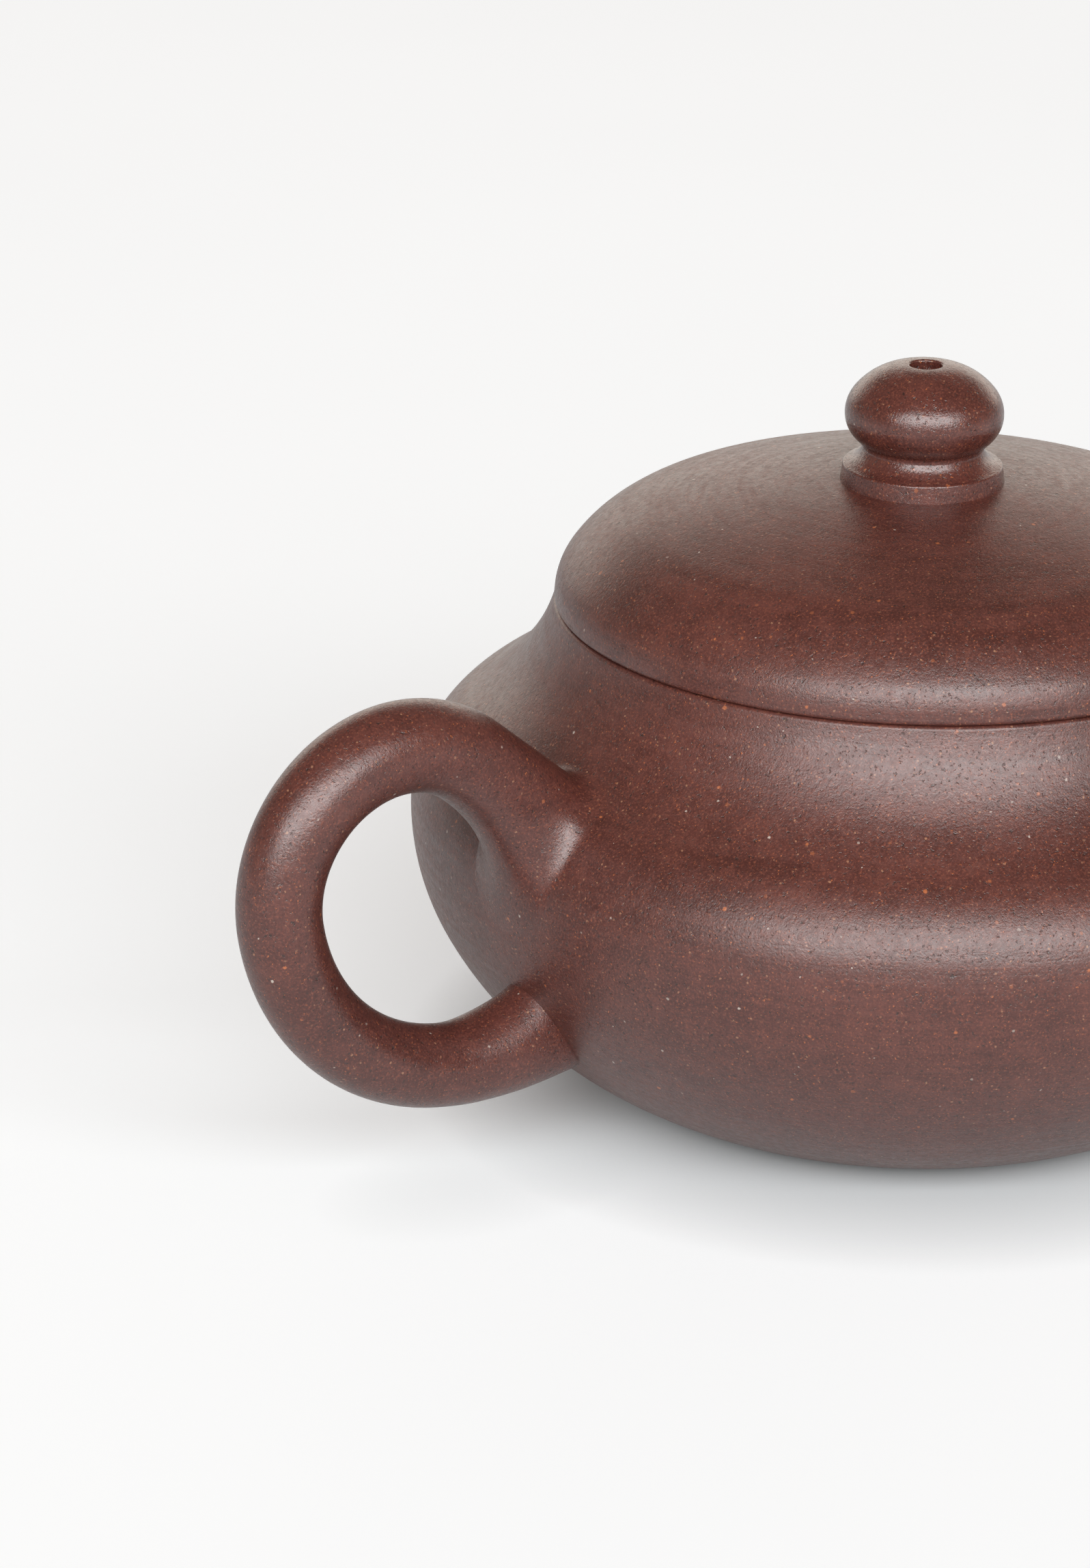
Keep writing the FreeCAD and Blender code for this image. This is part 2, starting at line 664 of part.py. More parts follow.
path = Outline(handle, "handle_path", "XZ_Plane")
slope = math.radians(size("handle_slope"))
turn = math.radians(size("handle_turn"))
upper_radius = size("handle_upper_arc")
lower_radius = size("handle_lower_arc")
upper_middle = Vector(size("handle_out"), size("handle_height"), 0)
spring = upper_middle + Vector(-math.sin(slope), math.cos(slope), 0) * upper_radius
upper_end = spring - Vector(math.cos(slope), math.sin(slope), 0) * size("handle_upper_run")
change = upper_middle + Vector(math.cos(turn), -math.sin(turn), 0) * upper_radius
lower_middle = change - Vector(math.cos(turn), -math.sin(turn), 0) * lower_radius
bottom = lower_middle - Vector(0, lower_radius, 0)
lower_end = bottom - Vector(size("handle_lower_run"), 0, 0)
upper_run = path.line(upper_end, spring)
upper = path.arc(upper_middle, upper_radius, change, spring)
lower = path.arc(lower_middle, lower_radius, bottom, change)
lower_run = path.line(bottom, lower_end)
path.tie("Tangent", upper_run, 2, upper, 2)
path.tie("Tangent", upper, 1, lower, 2)
path.tie("Tangent", lower, 1, lower_run, 1)
path.tie("Horizontal", lower_run)
path.bind("Radius", upper, "handle_upper_arc")
path.bind("Radius", lower, "handle_lower_arc")
path.hold(upper, 3, "handle_out", "handle_height")
path.bind("Distance", upper_run, "handle_upper_run")
path.bind("Distance", lower_run, "handle_lower_run")
path.bind("DistanceY", upper, 1, upper, 3, "handle_upper_arc * sin( handle_turn )")
path.bind("DistanceX", upper, 2, upper, 3, "handle_upper_arc * sin( handle_slope )")

doc.recompute()

upper_out = "handle_out - handle_upper_arc * sin( handle_slope ) - handle_upper_run * cos( handle_slope )"
upper_up = "handle_height + handle_upper_arc * cos( handle_slope ) - handle_upper_run * sin( handle_slope )"
change_out = "handle_out + handle_upper_arc * cos( handle_turn )"
change_up = "handle_height - handle_upper_arc * sin( handle_turn )"
middle_out = "handle_out + ( handle_upper_arc - handle_lower_arc ) * cos( handle_turn )"
middle_up = "handle_height - ( handle_upper_arc - handle_lower_arc ) * sin( handle_turn )"
heel_up = middle_up + " - handle_lower_arc"
foot_out = middle_out + " - handle_lower_run"
foot_up = heel_up + " + handle_foot_lift"
top_ring = section(handle, "handle_top", upper_out, upper_up, "handle_slope", "handle_top_radius")
side_ring = section(handle, "handle_side", change_out, change_up, "-90 - handle_turn", "handle_side_radius")
heel_ring = section(handle, "handle_heel", middle_out, heel_up, "-180", "handle_heel_radius")
foot_ring = section(handle, "handle_foot", foot_out, foot_up, "-180", "handle_foot_radius")
doc.recompute()

rod = handle.newObject("PartDesign::AdditivePipe", "handle_rod")
rod.Profile = top_ring
rod.Spine = (path.sketch, ["Edge%d" % number for number in range(1, 5)])
rod.Transformation = "Multisection"
rod.Sections = [side_ring, heel_ring, foot_ring]
rod.Mode = "Standard"
doc.recompute()


def root_edges(feature, pot_form, low, high):
    """The edges where a rod or spout leaves the pot's form, between two heights."""
    skin = Part.Compound(pot_form.Shape.Faces)
    names = []
    for number, edge in enumerate(feature.Shape.Edges, start=1):
        if isinstance(edge.Curve, (Part.Circle, Part.Line)):
            continue
        first, last = edge.ParameterRange
        points = [edge.valueAt(first + (last - first) * part) for part in (0.2, 0.5, 0.8)]
        if max(skin.distToShape(Part.Vertex(point))[0] for point in points) > 1e-3:
            continue
        if low < points[1].z < high:
            names.append("Edge%d" % number)
    return names


handle_pot_form = doc.getObject("handle_pot_form")
upper_root = root_edges(rod, handle_pot_form, size("equator_height"), size("seam_height"))
upper_blend = rounded(handle, "handle_upper_root", upper_root, "handle_upper_blend")
handle_cut = turned(handle, pot_outline(handle, "handle_seat", "seam_height"), "handle_cut", "Groove")
handle.Placement = Placement(Vector(0, 0, 0), Rotation(Vector(0, 0, 1), 180))

# Spout: four rings from the belly to a level tip, blended into the pot's form and bored through
spout = new_body("spout")
turned(spout, pot_outline(spout, "spout_pot", "seam_height"), "spout_pot_form")
STATIONS = ["root", "bend", "neck", "tip"]


def spout_rings(prefix, inset):
    """The spout's rings, set in by a wall or not."""
    rings = []
    for station in STATIONS:
        key = "spout_" + station
        lean = "90" if station == "tip" else key + "_slope"
        radius = key + "_radius" + inset
        rings.append(section(spout, prefix + station, key + "_out", key + "_height", lean, radius))
    doc.recompute()
    return rings


def lofted(kind, name, rings):
    """A smooth skin through rings, added to the spout or cut from it."""
    skin = spout.newObject("PartDesign::" + kind, name)
    skin.Profile = rings[0]
    skin.Sections = rings[1:]
    doc.recompute()
    return skin


tube = lofted("AdditiveLoft", "spout_tube", spout_rings("spout_outer_", ""))
spout_root = root_edges(tube, doc.getObject("spout_pot_form"), 0, size("seam_height"))
spout_blend = rounded(spout, "spout_root", spout_root, "spout_blend")
spout_bore = lofted("SubtractiveLoft", "spout_bore", spout_rings("spout_inner_", " - spout_wall"))
spout_cut = turned(spout, pot_outline(spout, "spout_seat", "seam_height"), "spout_cut", "Groove")
rounded(spout, "spout_lip", level_edges(spout_cut, size("spout_tip_height")), "spout_lip_round")

doc.recompute()
for item in doc.Objects:
    if "Invalid" in item.State or "Error" in item.State:
        raise RuntimeError("%s did not build" % item.Name)

PIECES = [
    base_disc,
    belly_wall,
    shoulder_wall,
    mouth_ring,
    spout,
    handle,
    lid_plate,
    lid_dome,
    lid_flange,
    knob_collar,
    knob,
]

for piece in PIECES:
    if piece.Shape.isNull() or not piece.Shape.isValid() or len(piece.Shape.Solids) != 1:
        raise RuntimeError("%s is not one sound solid" % piece.Label)

os.makedirs("parts", exist_ok=True)
for piece in PIECES:
    piece.Shape.exportStep("parts/%s.step" % piece.Label)
    print("%s: %.0f cubic mm" % (piece.Label, piece.Shape.Volume))
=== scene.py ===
"""A round clay teapot: turned pot and lid, ear handle, spout and bead knob, in dark unglazed clay."""

import math

import bpy
import numpy as np
from bpy.props import FloatProperty, FloatVectorProperty, IntProperty, PointerProperty
from mathutils import Matrix, Vector


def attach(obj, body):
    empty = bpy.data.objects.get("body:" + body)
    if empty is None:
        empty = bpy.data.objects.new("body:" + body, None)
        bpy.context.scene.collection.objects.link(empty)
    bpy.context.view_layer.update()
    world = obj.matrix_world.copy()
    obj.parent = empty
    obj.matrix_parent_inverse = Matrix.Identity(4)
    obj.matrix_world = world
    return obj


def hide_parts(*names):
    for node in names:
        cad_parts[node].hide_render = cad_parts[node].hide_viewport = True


bl_info = {
    "name": "Clay Teapot",
    "version": (1, 0, 0),
    "blender": (4, 5, 0),
    "location": "View3D > Sidebar > Teapot",
    "description": "Builds a round unglazed clay teapot with a lift-off lid on a plain studio table",
    "category": "Object",
}

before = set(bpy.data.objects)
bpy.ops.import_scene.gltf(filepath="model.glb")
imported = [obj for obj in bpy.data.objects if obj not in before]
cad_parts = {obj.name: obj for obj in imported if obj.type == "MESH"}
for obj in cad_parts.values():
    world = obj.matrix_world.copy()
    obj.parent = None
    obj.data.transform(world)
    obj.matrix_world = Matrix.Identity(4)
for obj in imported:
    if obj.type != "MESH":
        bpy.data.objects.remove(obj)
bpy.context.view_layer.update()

IMAGE_SIDES = (1596, 2296)
SENSOR = 36.0
NEAR_CLIP = 0.01
WHITE = (1.0, 1.0, 1.0)
LAMP_TARGET = (0.0, 0.0, 0.03)
TABLE_HALF = 3.0
TABLE_CLOUDS = 9.0
TABLE_DIM = 0.985
SKY_RISE = (0.02, 0.6)

# Numbers of points along and round the skins
TURN_STEPS = 256
OUTSIDE_STEPS = 190
INSIDE_STEPS = 90
FLOOR_STEPS = 14
EASE_STEPS = 7
ARC_STEPS = 200
SIDE_STEPS = 800
RING_STEPS = 72
PATH_STEPS = 150
RUN_STEPS = 500
FOOT_STEPS = 600
BLEND_STEPS = 26
SPOUT_STEPS = 1200
TUBE_STEPS = 90
RIM_STEPS = 12
HOLE_STEPS = 40

# Blends: the pull of a cubic that follows a quarter of an ellipse, the ease of the gap towards the
# underside, the start of the foot's flare before its run, and how far feet and skirts lie in the wall
QUARTER = 1.657
LOW_EASE = 1.8
FLARE_LEAD = 0.004
FOOT_SINK = 0.000005
SKIRT = 0.0006
CREASE = math.radians(40.0)
HOLE_CREASE = math.radians(50.0)

# Noise in the clay: scale to the millimetre, detail and roughness
BROAD = (0.06, 2.0, 0.5)
MOTTLE = (0.45, 3.0, 0.6)
FINE = (4.8, 3.0, 0.65)
PORES = (1.7, 2.0, 0.55)
FLECKS = (4.6, 1.0, 0.5)
PITS = (2.9, 2.0, 0.55)
MARKS = (1.0, 3.0, 0.6)

# Scattered grains: cells to the millimetre, reach as a share of a cell, and share of the cells
TAN_GRAINS = (2.3, 0.32, 0.24)
ORANGE_GRAINS = (0.8, 0.20, 0.17)
PALE_GRAINS = (1.0, 0.17, 0.12)
GRAIN_WARP = 0.22
GRAIN_CORE = 0.55
GRAIN_LEAST = 0.35

# Turning marks: their scale round the axis and along the side; the depth of all relief, in metres
MARKS_ROUND = 2.6
MARKS_ALONG = 1.9
RELIEF_DEPTH = 0.0002


def length(name, description, default):
    """A length property in metres."""
    return FloatProperty(name=name, description=description, default=default, unit="LENGTH", precision=5)


def angle(name, description, degrees):
    """An angle property, given in degrees and kept in radians."""
    return FloatProperty(
        name=name, description=description, default=math.radians(degrees), unit="ROTATION", precision=5
    )


def share(name, description, default):
    """A plain share or strength."""
    return FloatProperty(name=name, description=description, default=default, min=0.0, precision=3)


def colour(name, description, default):
    """A colour property, linear red, green and blue."""
    return FloatVectorProperty(
        name=name, description=description, default=default, size=3, min=0.0, max=1.0, subtype="COLOR"
    )


class PotSizes(bpy.types.PropertyGroup):
    """Sizes of the turned pot."""

    base_radius: length("Base radius", "Radius of the flat base", 0.0251)
    equator_radius: length("Equator radius", "Radius of the widest ring of the belly", 0.0461)
    equator_height: length("Equator height", "Height of the widest ring above the table", 0.0255)
    belly_arc: length("Belly arc", "Radius of the belly's curve below the equator", 0.021)
    lower_arc: length("Lower arc", "Radius of the curve that runs down to the base", 0.033)
    shoulder_arc: length("Shoulder arc", "Radius of the curve above the equator", 0.0101)
    neck_arc: length("Neck arc", "Radius of the hollow curve below the mouth", 0.0181)
    mouth_radius: length("Mouth radius", "Outer radius of the mouth", 0.0331)
    mouth_bore: length("Mouth bore", "Inner radius of the mouth", 0.027)
    mouth_depth: length("Mouth depth", "Height of the mouth ring", 0.0042)
    seam_height: length("Seam height", "Height of the seam between the pot and the lid", 0.045)
    wall: length("Wall", "Thickness of the wall", 0.003)
    lip_round: length("Lip round", "Rounding of the mouth's edges", 0.0004)
    base_round: length("Base round", "Rounding of the base's edge", 0.0009)
    inner_round: length("Inner round", "Rounding of the corners inside", 0.0016)
    strainer_height: length("Strainer height", "Height of the middle strainer hole", 0.022)
    strainer_ring: length("Strainer ring", "Radius of the ring of strainer holes", 0.0044)
    strainer_hole: length("Strainer hole", "Radius of a strainer hole", 0.0012)
    strainer_count: IntProperty(
        name="Strainer count", description="Holes in the ring around the middle one", default=6, min=3
    )


class LidSizes(bpy.types.PropertyGroup):
    """Sizes of the lid and its knob."""

    radius: length("Lid radius", "Radius of the lid's edge", 0.03306)
    rise: length("Lid rise", "Height of the crown above the seam", 0.01185)
    crown_arc: length("Crown arc", "Radius of the crown's curve", 0.0949)
    brow_arc: length("Brow arc", "Radius of the curve between crown and edge", 0.0128)
    edge_arc: length("Edge arc", "Radius of the curve at the edge", 0.0054)
    edge_lift: length("Edge lift", "Height of the lid's widest ring above the seam", 0.00046)
    edge_round: length("Edge round", "Rounding of the lid's lower edge", 0.00045)
    wall: length("Lid wall", "Thickness of the dome", 0.0028)
    plate: length("Plate", "Thickness of the plate under the dome", 0.0024)
    flange_gap: length("Flange gap", "Gap between the flange and the mouth", 0.0003)
    flange_wall: length("Flange wall", "Thickness of the flange", 0.0026)
    flange_drop: length("Flange drop", "Depth of the flange below the seam", 0.008)
    flange_round: length("Flange round", "Rounding of the flange's foot", 0.0008)
    collar_foot: length("Collar foot", "Radius of the collar where it meets the crown", 0.00745)
    collar_radius: length("Collar radius", "Radius of the collar's upper edge", 0.0072)
    collar_rise: length("Collar rise", "Height of the collar's edge above the crown", 0.0013)
    collar_round: length("Collar round", "Rounding of the collar's edge", 0.0002)
    waist_radius: length("Waist radius", "Radius of the groove under the bead", 0.00545)
    waist_rise: length("Waist rise", "Height of the groove above the collar's edge", 0.0019)
    waist_round: length("Waist round", "Rounding of the groove", 0.0006)
    bead_radius: length("Bead radius", "Radius of the bead", 0.00715)
    bead_lower: length("Bead lower part", "Height from the groove to the bead's widest ring", 0.00275)
    bead_side_arc: length("Bead side arc", "Radius of the curve above the bead's widest ring", 0.0034)
    bead_upper: length("Bead upper part", "Height from the widest ring to the top", 0.00452)
    vent_radius: length("Vent radius", "Radius of the vent hole", 0.00145)
    vent_round: length("Vent round", "Rounding of the vent hole's rim", 0.0002)


class HandleSizes(bpy.types.PropertyGroup):
    """Sizes of the ear handle."""

    out: length("Handle out", "Distance of the upper arc's middle from the axis", 0.05775)
    height: length("Handle height", "Height of the upper arc's middle", 0.031)
    upper_arc: length("Upper arc", "Radius of the upper arc", 0.0121)
    lower_arc: length("Lower arc", "Radius of the lower arc", 0.0203)
    slope: angle("Slope", "Rise of the upper run away from the pot", 40.0)
    turn: angle("Turn", "Angle below level where the two arcs meet", 10.0)
    lower_run: length("Lower run", "Length of the lower run", 0.013)
    top_radius: length("Top radius", "Radius of the rod at its upper end", 0.0041)
    side_radius: length("Side radius", "Radius of the rod at its outer side", 0.0037)
    heel_radius: length("Heel radius", "Radius of the rod at the start of the lower run", 0.004)
    foot_radius: length("Foot radius", "Radius of the flared lower end in its upright plane", 0.0072)
    foot_side: length("Foot side", "Radius of the flared lower end to each side", 0.0026)
    foot_lift: length("Foot lift", "Rise of the flared lower end", 0.0044)
    foot_depth: length("Foot depth", "How far the lower end goes into the wall", 0.0012)
    root_gap: length("Root gap", "Length of the upper blend along the top of the rod", 0.0016)
    root_gap_low: length("Lower root gap", "Length of the upper blend along the rod's underside", 0.01)
    root_up: length("Root up", "Spread of the upper blend up the neck", 0.0015)
    root_down: length("Root down", "Spread of the upper blend down the shoulder", 0.0098)
    root_side: length("Root side", "Spread of the upper blend to each side", 0.0024)


class SpoutSizes(bpy.types.PropertyGroup):
    """Sizes of the spout, which goes through four rings."""

    root_out: length("Root out", "Distance of the root ring from the axis", 0.033)
    root_height: length("Root height", "Height of the root ring", 0.019)
    root_slope: angle("Root slope", "Slope of the spout at the root ring", 12.0)
    root_radius: length("Root radius", "Radius of the root ring", 0.0098)
    bend_out: length("Bend out", "Distance of the bend ring from the axis", 0.0525)
    bend_height: length("Bend height", "Height of the bend ring", 0.0265)
    bend_slope: angle("Bend slope", "Slope of the spout at the bend ring", 38.0)
    bend_radius: length("Bend radius", "Radius of the bend ring", 0.0073)
    neck_out: length("Neck out", "Distance of the neck ring from the axis", 0.0624)
    neck_height: length("Neck height", "Height of the neck ring", 0.036)
    neck_slope: angle("Neck slope", "Slope of the spout at the neck ring", 54.0)
    neck_radius: length("Neck radius", "Radius of the neck ring", 0.0054)
    tip_out: length("Tip out", "Distance of the tip from the axis", 0.0684)
    tip_height: length("Tip height", "Height of the level tip", 0.0455)
    tip_radius: length("Tip radius", "Radius of the tip", 0.0052)
    wall: length("Spout wall", "Thickness of the spout's wall", 0.0015)
    root_gap: length("Root gap", "Length of the root blend along the top of the spout", 0.0035)
    root_gap_low: length("Lower root gap", "Length of the root blend along the spout's underside", 0.0032)
    root_up: length("Root up", "Spread of the root blend up the belly", 0.003)
    root_down: length("Root down", "Spread of the root blend down the belly", 0.0032)
    root_side: length("Root side", "Spread of the root blend to each side", 0.003)


class ClayLook(bpy.types.PropertyGroup):
    """Colours and finish of the clay."""

    dark: colour("Dark clay", "Darker tone of the clay", (0.058, 0.0160, 0.0122))
    light: colour("Light clay", "Lighter tone of the clay", (0.128, 0.0400, 0.0308))
    warm: colour("Warm clay", "Redder tone in cloudy patches", (0.150, 0.046, 0.028))
    red: colour("Red grains", "Fine red grains all through the clay", (0.30, 0.090, 0.045))
    tan: colour("Tan grains", "Small tan grains", (0.38, 0.19, 0.11))
    orange: colour("Orange grains", "Larger orange grains", (0.46, 0.14, 0.05))
    pale: colour("Pale grains", "Rare pale grains", (0.56, 0.49, 0.43))
    # Painted shade: this dark colour is laid in the pits of the relief, for the shade inside the pinholes.
    painted_pit_shade: colour("Dark grains", "Dark iron grains", (0.022, 0.012, 0.010))
    ior: share("Index", "Index of refraction of the burnished skin", 1.7)
    roughness: share("Roughness", "Mean roughness of the burnished clay", 0.37)
    roughness_spread: share("Roughness spread", "How far the roughness varies", 0.16)
    knob_polish: share("Knob polish", "How much less rough the handled knob is", 0.15)
    grip_polish: share("Grip polish", "How much less rough the handle is", 0.05)
    grain: share("Grain", "Strength of the grain in relief", 0.4)


class StudioSetup(bpy.types.PropertyGroup):
    """The camera, the lamps and the table."""

    azimuth: angle("Azimuth", "Where the camera stands around the pot", -40.5)
    elevation: angle("Elevation", "How high the camera stands", 19.094)
    distance: length("Distance", "Distance from the camera to the middle of the lid's seam", 0.49836)
    pan: angle("Pan", "Turn of the camera away from the pot's axis", 4.1113)
    tilt: angle("Tilt", "Downward tilt of the camera", 21.1023)
    roll: angle("Roll", "Roll of the camera about its own axis", 0.509)
    focal: FloatProperty(name="Focal length", description="Focal length in image pixels", default=8000.0)
    table: colour("Table", "Colour of the table top", (0.674, 0.721, 0.740))
    table_glow: share("Table glow", "Plain white added to what is seen of the open table", 0.4)
    table_mirrored: share("Table mirrored", "Share of that white in the pot's reflections", 0.4)
    # Reach of the painted contact shadow: ambient occlusion dims the table's added white this close to the
    # pot.
    painted_shadow_reach: length("Table reach", "How far the pot keeps that white off the table", 0.012)
    sky_low: colour("Sky low", "Light of the surround at the horizon", (0.266, 0.246, 0.224))
    sky_high: colour("Sky high", "Light of the surround overhead", (0.186, 0.128, 0.105))
    key_azimuth: angle("Key azimuth", "Where the soft box stands around the pot", -33.0)
    key_elevation: angle("Key elevation", "How high the soft box stands", 31.5)
    key_distance: length("Lamp distance", "Distance of the soft box and the back panel", 5.0)
    key_width: length("Key width", "Width of the soft box", 8.4)
    key_height: length("Key height", "Height of the soft box", 2.6)
    key: FloatProperty(name="Key", description="Power of the soft box", default=412.0, unit="POWER")
    back_azimuth: angle("Back azimuth", "Where the back panel stands around the pot", 140.0)
    back_elevation: angle("Back elevation", "How high the back panel stands", 11.0)
    back_width: length("Back width", "Width of the back panel", 9.0)
    back_height: length("Back height", "Height of the back panel", 2.6)
    back: FloatProperty(name="Back", description="Power of the back panel", default=106.0, unit="POWER")
    back_tint: colour("Back tint", "Colour of the back panel", (1.0, 0.91, 0.81))


GROUPS = {
    "pot_sizes": PotSizes,
    "lid_sizes": LidSizes,
    "handle_sizes": HandleSizes,
    "spout_sizes": SpoutSizes,
    "clay_look": ClayLook,
    "studio": StudioSetup,
}


def unit(vectors):
    """Vectors divided by their lengths."""
    return vectors / np.linalg.norm(vectors, axis=-1, keepdims=True)


def arc(centre, radius, first, last, steps=60):
    """Points at a radius about a centre, at angles spread evenly from one to another."""
    turn = np.linspace(first, last, steps)
    return np.stack([centre[0] + radius * np.cos(turn), centre[1] + radius * np.sin(turn)], axis=1)


def straight(first, last, steps=10):
    """A straight run, its steps closer together towards both ends: the share is half a cosine wave."""
    part = 0.5 - 0.5 * np.cos(np.linspace(0.0, np.pi, steps + 1))
    first = np.asarray(first, dtype=float)
    return first + part[:, None] * (np.asarray(last, dtype=float) - first)


def path_lengths(path):
    """Distances along a path from its first point."""
    return np.concatenate([[0.0], np.cumsum(np.linalg.norm(np.diff(path, axis=0), axis=1))])


def evened(path, steps):
    """A path drawn again with points at even distances along it."""
    along = path_lengths(path)
    where = np.linspace(0.0, along[-1], steps)
    return np.stack([np.interp(where, along, path[:, k]) for k in range(path.shape[1])], axis=1)


def crossing(centre, reach, point, radius, side):
    """Where a circle about one point crosses a circle about another; side picks one of the two."""
    gap = np.subtract(point, centre)
    size = np.hypot(*gap)
    along = (size**2 + reach**2 - radius**2) / (2 * size)
    across = math.sqrt(reach**2 - along**2)
    step = gap / size
    return np.asarray(centre) + step * along + np.array([-step[1], step[0]]) * across * side


def heading(first, last):
    """The angle of the direction from one point to another."""
    return math.atan2(last[1] - first[1], last[0] - first[0])


def eased(first, second, radius):
    """Two runs that share a corner, joined by an arc of a radius that touches both.

    The arc's middle lies on the corner's bisector, and two more points keep the runs straight beside it.
    """
    corner = first[-1]
    into = unit(corner - first[-2])
    out = unit(second[1] - corner)
    turn = math.acos(float(np.clip(into @ out, -1.0, 1.0)))
    reach = radius * math.tan(turn / 2)
    middle = corner + unit(out - into) * radius / math.cos(turn / 2)
    begin = corner - into * reach - middle
    end = corner + out * reach - middle
    part = np.linspace(0.0, 1.0, EASE_STEPS)[:, None]
    bend = middle + (np.sin((1 - part) * turn) * begin + np.sin(part * turn) * end) / math.sin(turn)
    hold = reach + 0.25 * radius
    before = first[np.linalg.norm(first - corner, axis=1) > hold * 1.2]
    after = second[np.linalg.norm(second - corner, axis=1) > hold * 1.2]
    guard_in = (corner - into * hold)[None]
    guard_out = (corner + out * hold)[None]
    return np.concatenate([before, guard_in, bend, guard_out, after])


def chained(first, *rest):
    """Runs joined one after another, each corner eased by the radius given with the next run."""
    path = first
    for radius, piece in rest:
        path = eased(path, piece, radius)
    return path


def grid_faces(rows, columns, wrap=False):
    """Four-sided faces of a grid whose rows close round; wrap also joins the last row to the first."""
    index = np.arange(rows if wrap else rows - 1)[:, None]
    row = index * columns
    next_row = (index + 1) % rows * columns
    column = np.arange(columns)[None, :]
    next_column = (column + 1) % columns
    corners = [row + column, row + next_column, next_row + next_column, next_row + column]
    return np.stack(np.broadcast_arrays(*corners), axis=-1).reshape(-1, 4)


def fan_faces(pole, ring, columns, outward):
    """Three-sided faces from a pole to a ring of points."""
    column = np.arange(columns)
    corners = [np.full(columns, pole), ring + column, ring + (column + 1) % columns]
    if outward:
        corners = corners[::-1]
    return np.stack(corners, axis=-1)


def skin_object(name, points, faces, smooth_angle=None):
    """A mesh object at the origin from an array of points and lists of faces, shaded smooth."""
    mesh = bpy.data.meshes.new(name)
    mesh.from_pydata(points.tolist(), [], [face for group in faces for face in group.tolist()])
    mesh.shade_smooth()
    if smooth_angle:
        mesh.set_sharp_from_angle(angle=smooth_angle)
    mesh.validate()
    mesh.update()
    piece = bpy.data.objects.new(name, mesh)
    bpy.context.scene.collection.objects.link(piece)
    return piece


def turned_points(outline):
    """An outline turned about the upright axis: radius r and height z go to (r cos t, r sin t, z)."""
    turn = np.linspace(0.0, 2 * np.pi, TURN_STEPS, endpoint=False)
    round_x = outline[:, :1] * np.cos(turn)
    round_y = outline[:, :1] * np.sin(turn)
    height = np.broadcast_to(outline[:, 1:], round_x.shape)
    return np.stack([round_x, round_y, height], axis=-1).reshape(-1, 3)


def turned_pole_piece(name, outline):
    """A solid of turning whose outline starts and ends on the axis, each end one pole point."""
    inner = outline[1:-1]
    points = turned_points(inner)
    poles = np.array([[0.0, 0.0, outline[0, 1]], [0.0, 0.0, outline[-1, 1]]])
    count = len(points)
    faces = [
        grid_faces(len(inner), TURN_STEPS),
        fan_faces(count, 0, TURN_STEPS, True),
        fan_faces(count + 1, count - TURN_STEPS, TURN_STEPS, False),
    ]
    return skin_object(name, np.concatenate([points, poles]), faces)


def turned_loop_piece(name, outline):
    """A ring-shaped solid of turning whose outline stays off the axis and ends on its first point."""
    loop = outline[:-1]
    faces = [grid_faces(len(loop), TURN_STEPS, wrap=True)]
    return skin_object(name, turned_points(loop), faces)


def pot_side(pot, inset, low, high, steps):
    """The pot's side from one height to another: four arcs that touch, set in by a distance.

    The lower, belly and shoulder arcs bulge out and the neck arc is hollow, so the inset shortens the
    first three radii and lengthens the last.
    """
    equator = np.array([pot.equator_radius, pot.equator_height])
    belly = equator - [pot.belly_arc, 0.0]
    shoulder = equator - [pot.shoulder_arc, 0.0]
    lower = crossing(belly, pot.lower_arc - pot.belly_arc, (pot.base_radius, 0.0), pot.lower_arc, -1)
    mouth = (pot.mouth_radius, pot.seam_height)
    neck = crossing(shoulder, pot.shoulder_arc + pot.neck_arc, mouth, pot.neck_arc, -1)
    hip = heading(lower, belly)
    dip = heading(shoulder, neck)
    start = math.asin(max(-1.0, (low - lower[1]) / (pot.lower_arc - inset)))
    past_mouth = heading(neck, mouth) + 2 * math.pi - 0.1
    dense = np.concatenate(
        [
            arc(lower, pot.lower_arc - inset, start, hip, ARC_STEPS),
            arc(belly, pot.belly_arc - inset, hip, 0.0, ARC_STEPS)[1:],
            arc(shoulder, pot.shoulder_arc - inset, 0.0, dip, ARC_STEPS)[1:],
            arc(neck, pot.neck_arc + inset, dip + math.pi, past_mouth, ARC_STEPS)[1:],
        ]
    )
    ends = np.interp([low, high], dense[:, 1], dense[:, 0])
    within = (dense[:, 1] > low) & (dense[:, 1] < high)
    path = np.concatenate([[[ends[0], low]], dense[within], [[ends[1], high]]])
    return evened(path, steps)


def pot_outline(pot):
    """Half the pot's section, from the middle of the base round the lip to the middle of the floor."""
    seam = pot.seam_height
    ring_foot = seam - pot.mouth_depth
    outside = pot_side(pot, 0.0, 0.0, seam, OUTSIDE_STEPS)
    inside = pot_side(pot, pot.wall, pot.wall, ring_foot, INSIDE_STEPS)[::-1]
    return chained(
        straight((0.0, 0.0), outside[0], FLOOR_STEPS),
        (pot.base_round, outside),
        (pot.lip_round, straight(outside[-1], (pot.mouth_bore, seam))),
        (pot.lip_round, straight((pot.mouth_bore, seam), (pot.mouth_bore, ring_foot))),
        (pot.lip_round, straight((pot.mouth_bore, ring_foot), inside[0])),
        (pot.inner_round, inside),
        (pot.inner_round, straight(inside[-1], (0.0, pot.wall), FLOOR_STEPS)),
    )


def lid_curves(lid, seam):
    """The middles of the crown, brow and edge arcs of the lid, each touching the next."""
    crown = np.array([0.0, seam + lid.rise - lid.crown_arc])
    edge = np.array([lid.radius - lid.edge_arc, seam + lid.edge_lift])
    brow = crossing(crown, lid.crown_arc - lid.brow_arc, edge, lid.brow_arc - lid.edge_arc, 1)
    return crown, brow, edge


